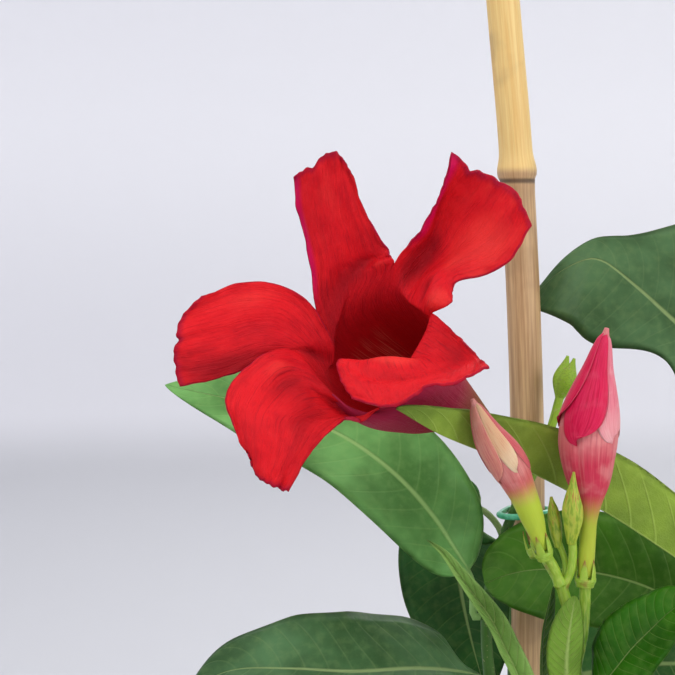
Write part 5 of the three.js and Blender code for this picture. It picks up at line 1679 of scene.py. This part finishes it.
def build_leaf(name, node, form, look, tint, finishes):
    """One leaf: a flat closed form round its midrib, with its stalk as the first part of it."""
    columns, stalk_rows, blade_rows = 36, 10, 64
    rows = 1 + stalk_rows + blade_rows
    row_shapes, base = leaf_rows(form, stalk_rows, blade_rows)
    lopsided = form.get("lopsided", 0)

    def side_of(u):
        """The place across the leaf, -1 to 1, closest together at the midrib, and if it is its upper face."""
        upper = u <= 0.5
        s = 4 * u - 1 if upper else 3 - 4 * u
        return math.copysign(abs(s) ** 1.5, s), upper

    def place(u, v):
        row = round(v * rows)
        t, middle, aside, above = row_shapes[row]
        s, upper = side_of(u)
        if row == 0:
            return middle
        blade = (t - base) / (1 - base)
        stalk_radius = PETIOLE_RADIUS * (1 - 0.45 * t) * (smooth(1, 0.97, blade) if blade > 0 else 1)
        fuller = smooth(0, 0.25, blade) - 2 * smooth(0.25, 0.7, blade)
        skew = 1 + math.copysign(lopsided, s) * smooth(0, 0.15, abs(s)) * fuller
        half = max(stalk_radius, form["width"] * blade_width(blade, form["belly"]) * skew)
        tilt = math.radians(form["fold"] * smooth(0, 0.12, blade))
        ends = smooth(0, 0.3, blade) * smooth(1, 0.8, blade)
        ripple = form["wave"] * math.sin(blade * BLADE_WAVES + s * 2) * s * s * ends
        ripple += form["wave"] * 0.25 * math.sin(blade * 31 + s * 5) * s**4 * ends
        lift = math.sqrt(s * s + 0.004) - math.sqrt(0.004)
        spread = smooth(0, 0.1, blade)
        round_half = stalk_radius * math.sqrt(max(0, 1 - s * s))
        flat_half = look.thickness / 2 * math.sqrt(max(0, 1 - s**6))
        rib_radius = PETIOLE_RADIUS * (0.8 - 0.65 * blade)
        rib = math.exp(-((half * s / rib_radius) ** 2)) * rib_radius * smooth(1, 0.9, blade)
        if upper:
            depth = mixed(round_half, flat_half - rib * 0.22, spread)
        else:
            depth = -mixed(round_half, flat_half + rib * 0.8, spread)
        across = half * s * math.cos(tilt)
        return middle + aside * across + above * (half * lift * math.sin(tilt) + ripple + depth)

    def growth(u, v):
        t = row_shapes[round(v * rows)][0]
        return 0.5 + 0.5 * side_of(u)[0], (t - base) / (1 - base)

    mesh = bmesh.new()
    sheet(mesh, columns, rows, place, growth, finish=lambda u, v: 0 if u < 0.5 else 1)
    mark_leaf(finish_piece(mesh, name, node, finishes), form, tint)


def build_leaves(look):
    finishes = [leaf_finish("leaf_face", look, True), leaf_finish("leaf_back", look, False)]
    for node, form in SHAPED_LEAVES.items():
        words = node.split("_")[1:]
        slot = "young_leaf" if "young" in words else "leaf"
        build_leaf("_".join([*words, "leaf"]), node, form, look, form["tint"], finishes)
    for i, form in enumerate(leaf_pairs()):
        node = f"leaf_{i + 1:02d}"
        tint = PAIR_GREENS[i % len(PAIR_GREENS)]
        build_leaf(f"vine_{node}", node, form, look, tint, finishes)


# Stage

def build_stage(look):
    floor_radius, bend, wall = 2.1, 0.9, 3.4
    arc_steps = 16
    outline = [(0, 0), (floor_radius, 0)]
    for i in range(1, arc_steps + 1):
        angle = math.pi / 2 * i / arc_steps
        outline.append((floor_radius + bend * math.sin(angle), bend - bend * math.cos(angle)))
    outline.append((floor_radius + bend, wall))
    mesh = bmesh.new()
    spun(mesh, outline, steps=96)
    for face in mesh.faces:
        face.normal_flip()
    data = mesh_data(mesh, "backdrop")
    data.shade_smooth()
    data.materials.append(stage_finish(look))
    backdrop = placed("backdrop", data)
    world = bpy.data.worlds.new("soft_studio")
    world.use_nodes = True
    sky = world.node_tree.nodes["Background"]
    sky.inputs["Color"].default_value = (*look.sky, 1)
    sky.inputs["Strength"].default_value = look.sky_strength
    bpy.context.scene.world = world
    for name, place, size, power in LAMPS:
        light = bpy.data.lights.new(name, "AREA")
        light.shape = "DISK"
        light.size = size
        light.energy = power
        lamp = placed(name, light)
        lamp.location = place
        lamp.rotation_euler = (TARGET - Vector(place)).to_track_quat("-Z", "Y").to_euler()


def build_camera():
    data = bpy.data.cameras.new("camera")
    data.sensor_width = SENSOR
    data.lens = SENSOR * DISTANCE / VIEW_WIDTH
    camera = placed("camera", data)
    rise = math.radians(ELEVATION)
    camera.location = TARGET + Vector((0, -math.cos(rise), math.sin(rise))) * DISTANCE
    camera.rotation_euler = (math.pi / 2 - rise, 0, 0)
    bpy.context.scene.camera = camera
    bpy.context.scene.view_settings.view_transform = "Standard"


# Add-on

def colour_property(name, description, code):
    kind = {"subtype": "COLOR", "size": 3, "min": 0, "max": 1}
    return bpy.props.FloatVectorProperty(name=name, description=description, default=linear(code), **kind)


def length_property(name, description, metres):
    kind = {"subtype": "DISTANCE", "unit": "LENGTH", "precision": 5, "min": 0}
    return bpy.props.FloatProperty(name=name, description=description, default=metres, **kind)


class PotLook(bpy.types.PropertyGroup):
    """Colour of the pot and the number of crumbs on its soil."""

    clay: colour_property("Clay", "The fired clay's own colour", "B9673D")
    crumbs: bpy.props.IntProperty(
        name="Crumbs", description="How many crumbs lie on the soil", min=0, default=420
    )


class SupportLook(bpy.types.PropertyGroup):
    """Colours of the cane, the stems and the ties, and how thick the ties are."""

    cane: colour_property("Cane", "The golden upper part of the bamboo", "DDB267")
    stem: colour_property("Stem", "The green part of the older stems", "3E6A20")
    shoot: colour_property("Shoot", "The young shoot and its stalks", "8DB02C")
    tie: colour_property("Tie", "The soft ties", "35A070")
    wire: length_property("Tie radius", "The radius of the ties' soft wire", TIE_WIRE)


class FlowerLook(bpy.types.PropertyGroup):
    """Colours of the open flower and its shoot, and how thick the petals are."""

    petal: colour_property("Petal", "The petals' upper face", "CA0E1C")
    throat: colour_property("Throat", "Deep in the flower", "AC0008")
    rim: colour_property("Rim", "The petals' margins", "C60052")
    shoot: colour_property("Shoot", "The young shoot and its stalks", "8DB02C")
    thickness: length_property("Petal thickness", "How thick the open petals are", PETAL_THICKNESS)


class LeafLook(bpy.types.PropertyGroup):
    """Colours that the leaves share, and how thick they are."""

    vein: colour_property("Veins", "What the side veins and the midrib are mixed with", "D4E488")
    underside: colour_property("Underside", "What the lower faces are mixed with", "A4C060")
    thickness: length_property("Blade thickness", "How thick a leaf is beside its ribs", BLADE_THICKNESS)


class StudioLook(bpy.types.PropertyGroup):
    """Backdrop and light."""

    backdrop: colour_property("Backdrop", "The wall", "E9E9EE")
    # The bend and the floor are darker than the wall as painted shade.
    bend: colour_property("Bend", "Where the floor turns up into the wall", "D5D5DB")
    floor: colour_property("Floor", "The floor", "B8B9BE")
    sky: colour_property("Sky", "The light from all round", "FFFFFF")
    sky_strength: bpy.props.FloatProperty(
        name="Sky strength", description="How strong the light from all round is", min=0, default=1.3
    )


class CLIMBER_OT_pot(bpy.types.Operator):
    """Build the clay pot and its soil"""

    bl_idname = "climber.pot"
    bl_label = "Pot and Soil"

    def execute(self, context):
        build_pot(context.scene.climber_pot)
        build_soil(context.scene.climber_pot)
        return {"FINISHED"}


class CLIMBER_OT_support(bpy.types.Operator):
    """Build the bamboo cane and the soft ties"""

    bl_idname = "climber.support"
    bl_label = "Cane and Ties"

    def execute(self, context):
        build_cane(context.scene.climber_support)
        build_ties(context.scene.climber_support)
        return {"FINISHED"}


class CLIMBER_OT_vines(bpy.types.Operator):
    """Build the three climbing stems"""

    bl_idname = "climber.vines"
    bl_label = "Stems"

    def execute(self, context):
        for node, name in VINE_PIECES.items():
            build_vine(node, name, context.scene.climber_support)
        return {"FINISHED"}


class CLIMBER_OT_shoot(bpy.types.Operator):
    """Build the flowering shoot with its stalks, sepals and green buds"""

    bl_idname = "climber.shoot"
    bl_label = "Flowering Shoot"

    def execute(self, context):
        build_shoot(context.scene.climber_flower)
        return {"FINISHED"}


class CLIMBER_OT_buds(bpy.types.Operator):
    """Build the two coloured buds"""

    bl_idname = "climber.buds"
    bl_label = "Buds"

    def execute(self, context):
        for name, colours in BUD_COLOURS.items():
            covers = [bud_lobe_finish(*cover) for cover in colours["petals"]]
            build_bud(name, [bud_finish(*colours["body"]), *covers])
        return {"FINISHED"}


class CLIMBER_OT_flower(bpy.types.Operator):
    """Build the open flower and the anthers in its tube"""

    bl_idname = "climber.flower"
    bl_label = "Open Flower"

    def execute(self, context):
        build_flower(context.scene.climber_flower)
        build_anthers()
        return {"FINISHED"}


class CLIMBER_OT_leaves(bpy.types.Operator):
    """Build every leaf"""

    bl_idname = "climber.leaves"
    bl_label = "Leaves"

    def execute(self, context):
        build_leaves(context.scene.climber_leaf)
        return {"FINISHED"}


class CLIMBER_OT_stage(bpy.types.Operator):
    """Build the pale backdrop, the lamps and the camera"""

    bl_idname = "climber.stage"
    bl_label = "Stage"

    def execute(self, context):
        build_stage(context.scene.climber_studio)
        build_camera()
        return {"FINISHED"}


LOOKS = {
    "climber_pot": PotLook,
    "climber_support": SupportLook,
    "climber_flower": FlowerLook,
    "climber_leaf": LeafLook,
    "climber_studio": StudioLook,
}
OPERATORS = [
    CLIMBER_OT_pot,
    CLIMBER_OT_support,
    CLIMBER_OT_vines,
    CLIMBER_OT_shoot,
    CLIMBER_OT_buds,
    CLIMBER_OT_flower,
    CLIMBER_OT_leaves,
    CLIMBER_OT_stage,
]


class CLIMBER_PT_sidebar(bpy.types.Panel):
    """Lists the colours and the operators in the sidebar"""

    bl_idname = "CLIMBER_PT_sidebar"
    bl_label = "Potted red climber"
    bl_space_type = "VIEW_3D"
    bl_region_type = "UI"
    bl_category = "Climber"

    def draw(self, context):
        for attribute, look in LOOKS.items():
            box = self.layout.box()
            for name in look.__annotations__:
                box.prop(getattr(context.scene, attribute), name)
        for operator in OPERATORS:
            self.layout.operator(operator.bl_idname)


def register():
    for look in LOOKS.values():
        bpy.utils.register_class(look)
    for operator in OPERATORS:
        bpy.utils.register_class(operator)
    bpy.utils.register_class(CLIMBER_PT_sidebar)
    for attribute, look in LOOKS.items():
        setattr(bpy.types.Scene, attribute, bpy.props.PointerProperty(type=look))


def unregister():
    for attribute in LOOKS:
        delattr(bpy.types.Scene, attribute)
    bpy.utils.unregister_class(CLIMBER_PT_sidebar)
    for operator in reversed(OPERATORS):
        bpy.utils.unregister_class(operator)
    for look in reversed(LOOKS.values()):
        bpy.utils.unregister_class(look)


def main():
    register()
    for operator in OPERATORS:
        category, name = operator.bl_idname.split(".")
        getattr(getattr(bpy.ops, category), name)()


if __name__ == "__main__":
    main()
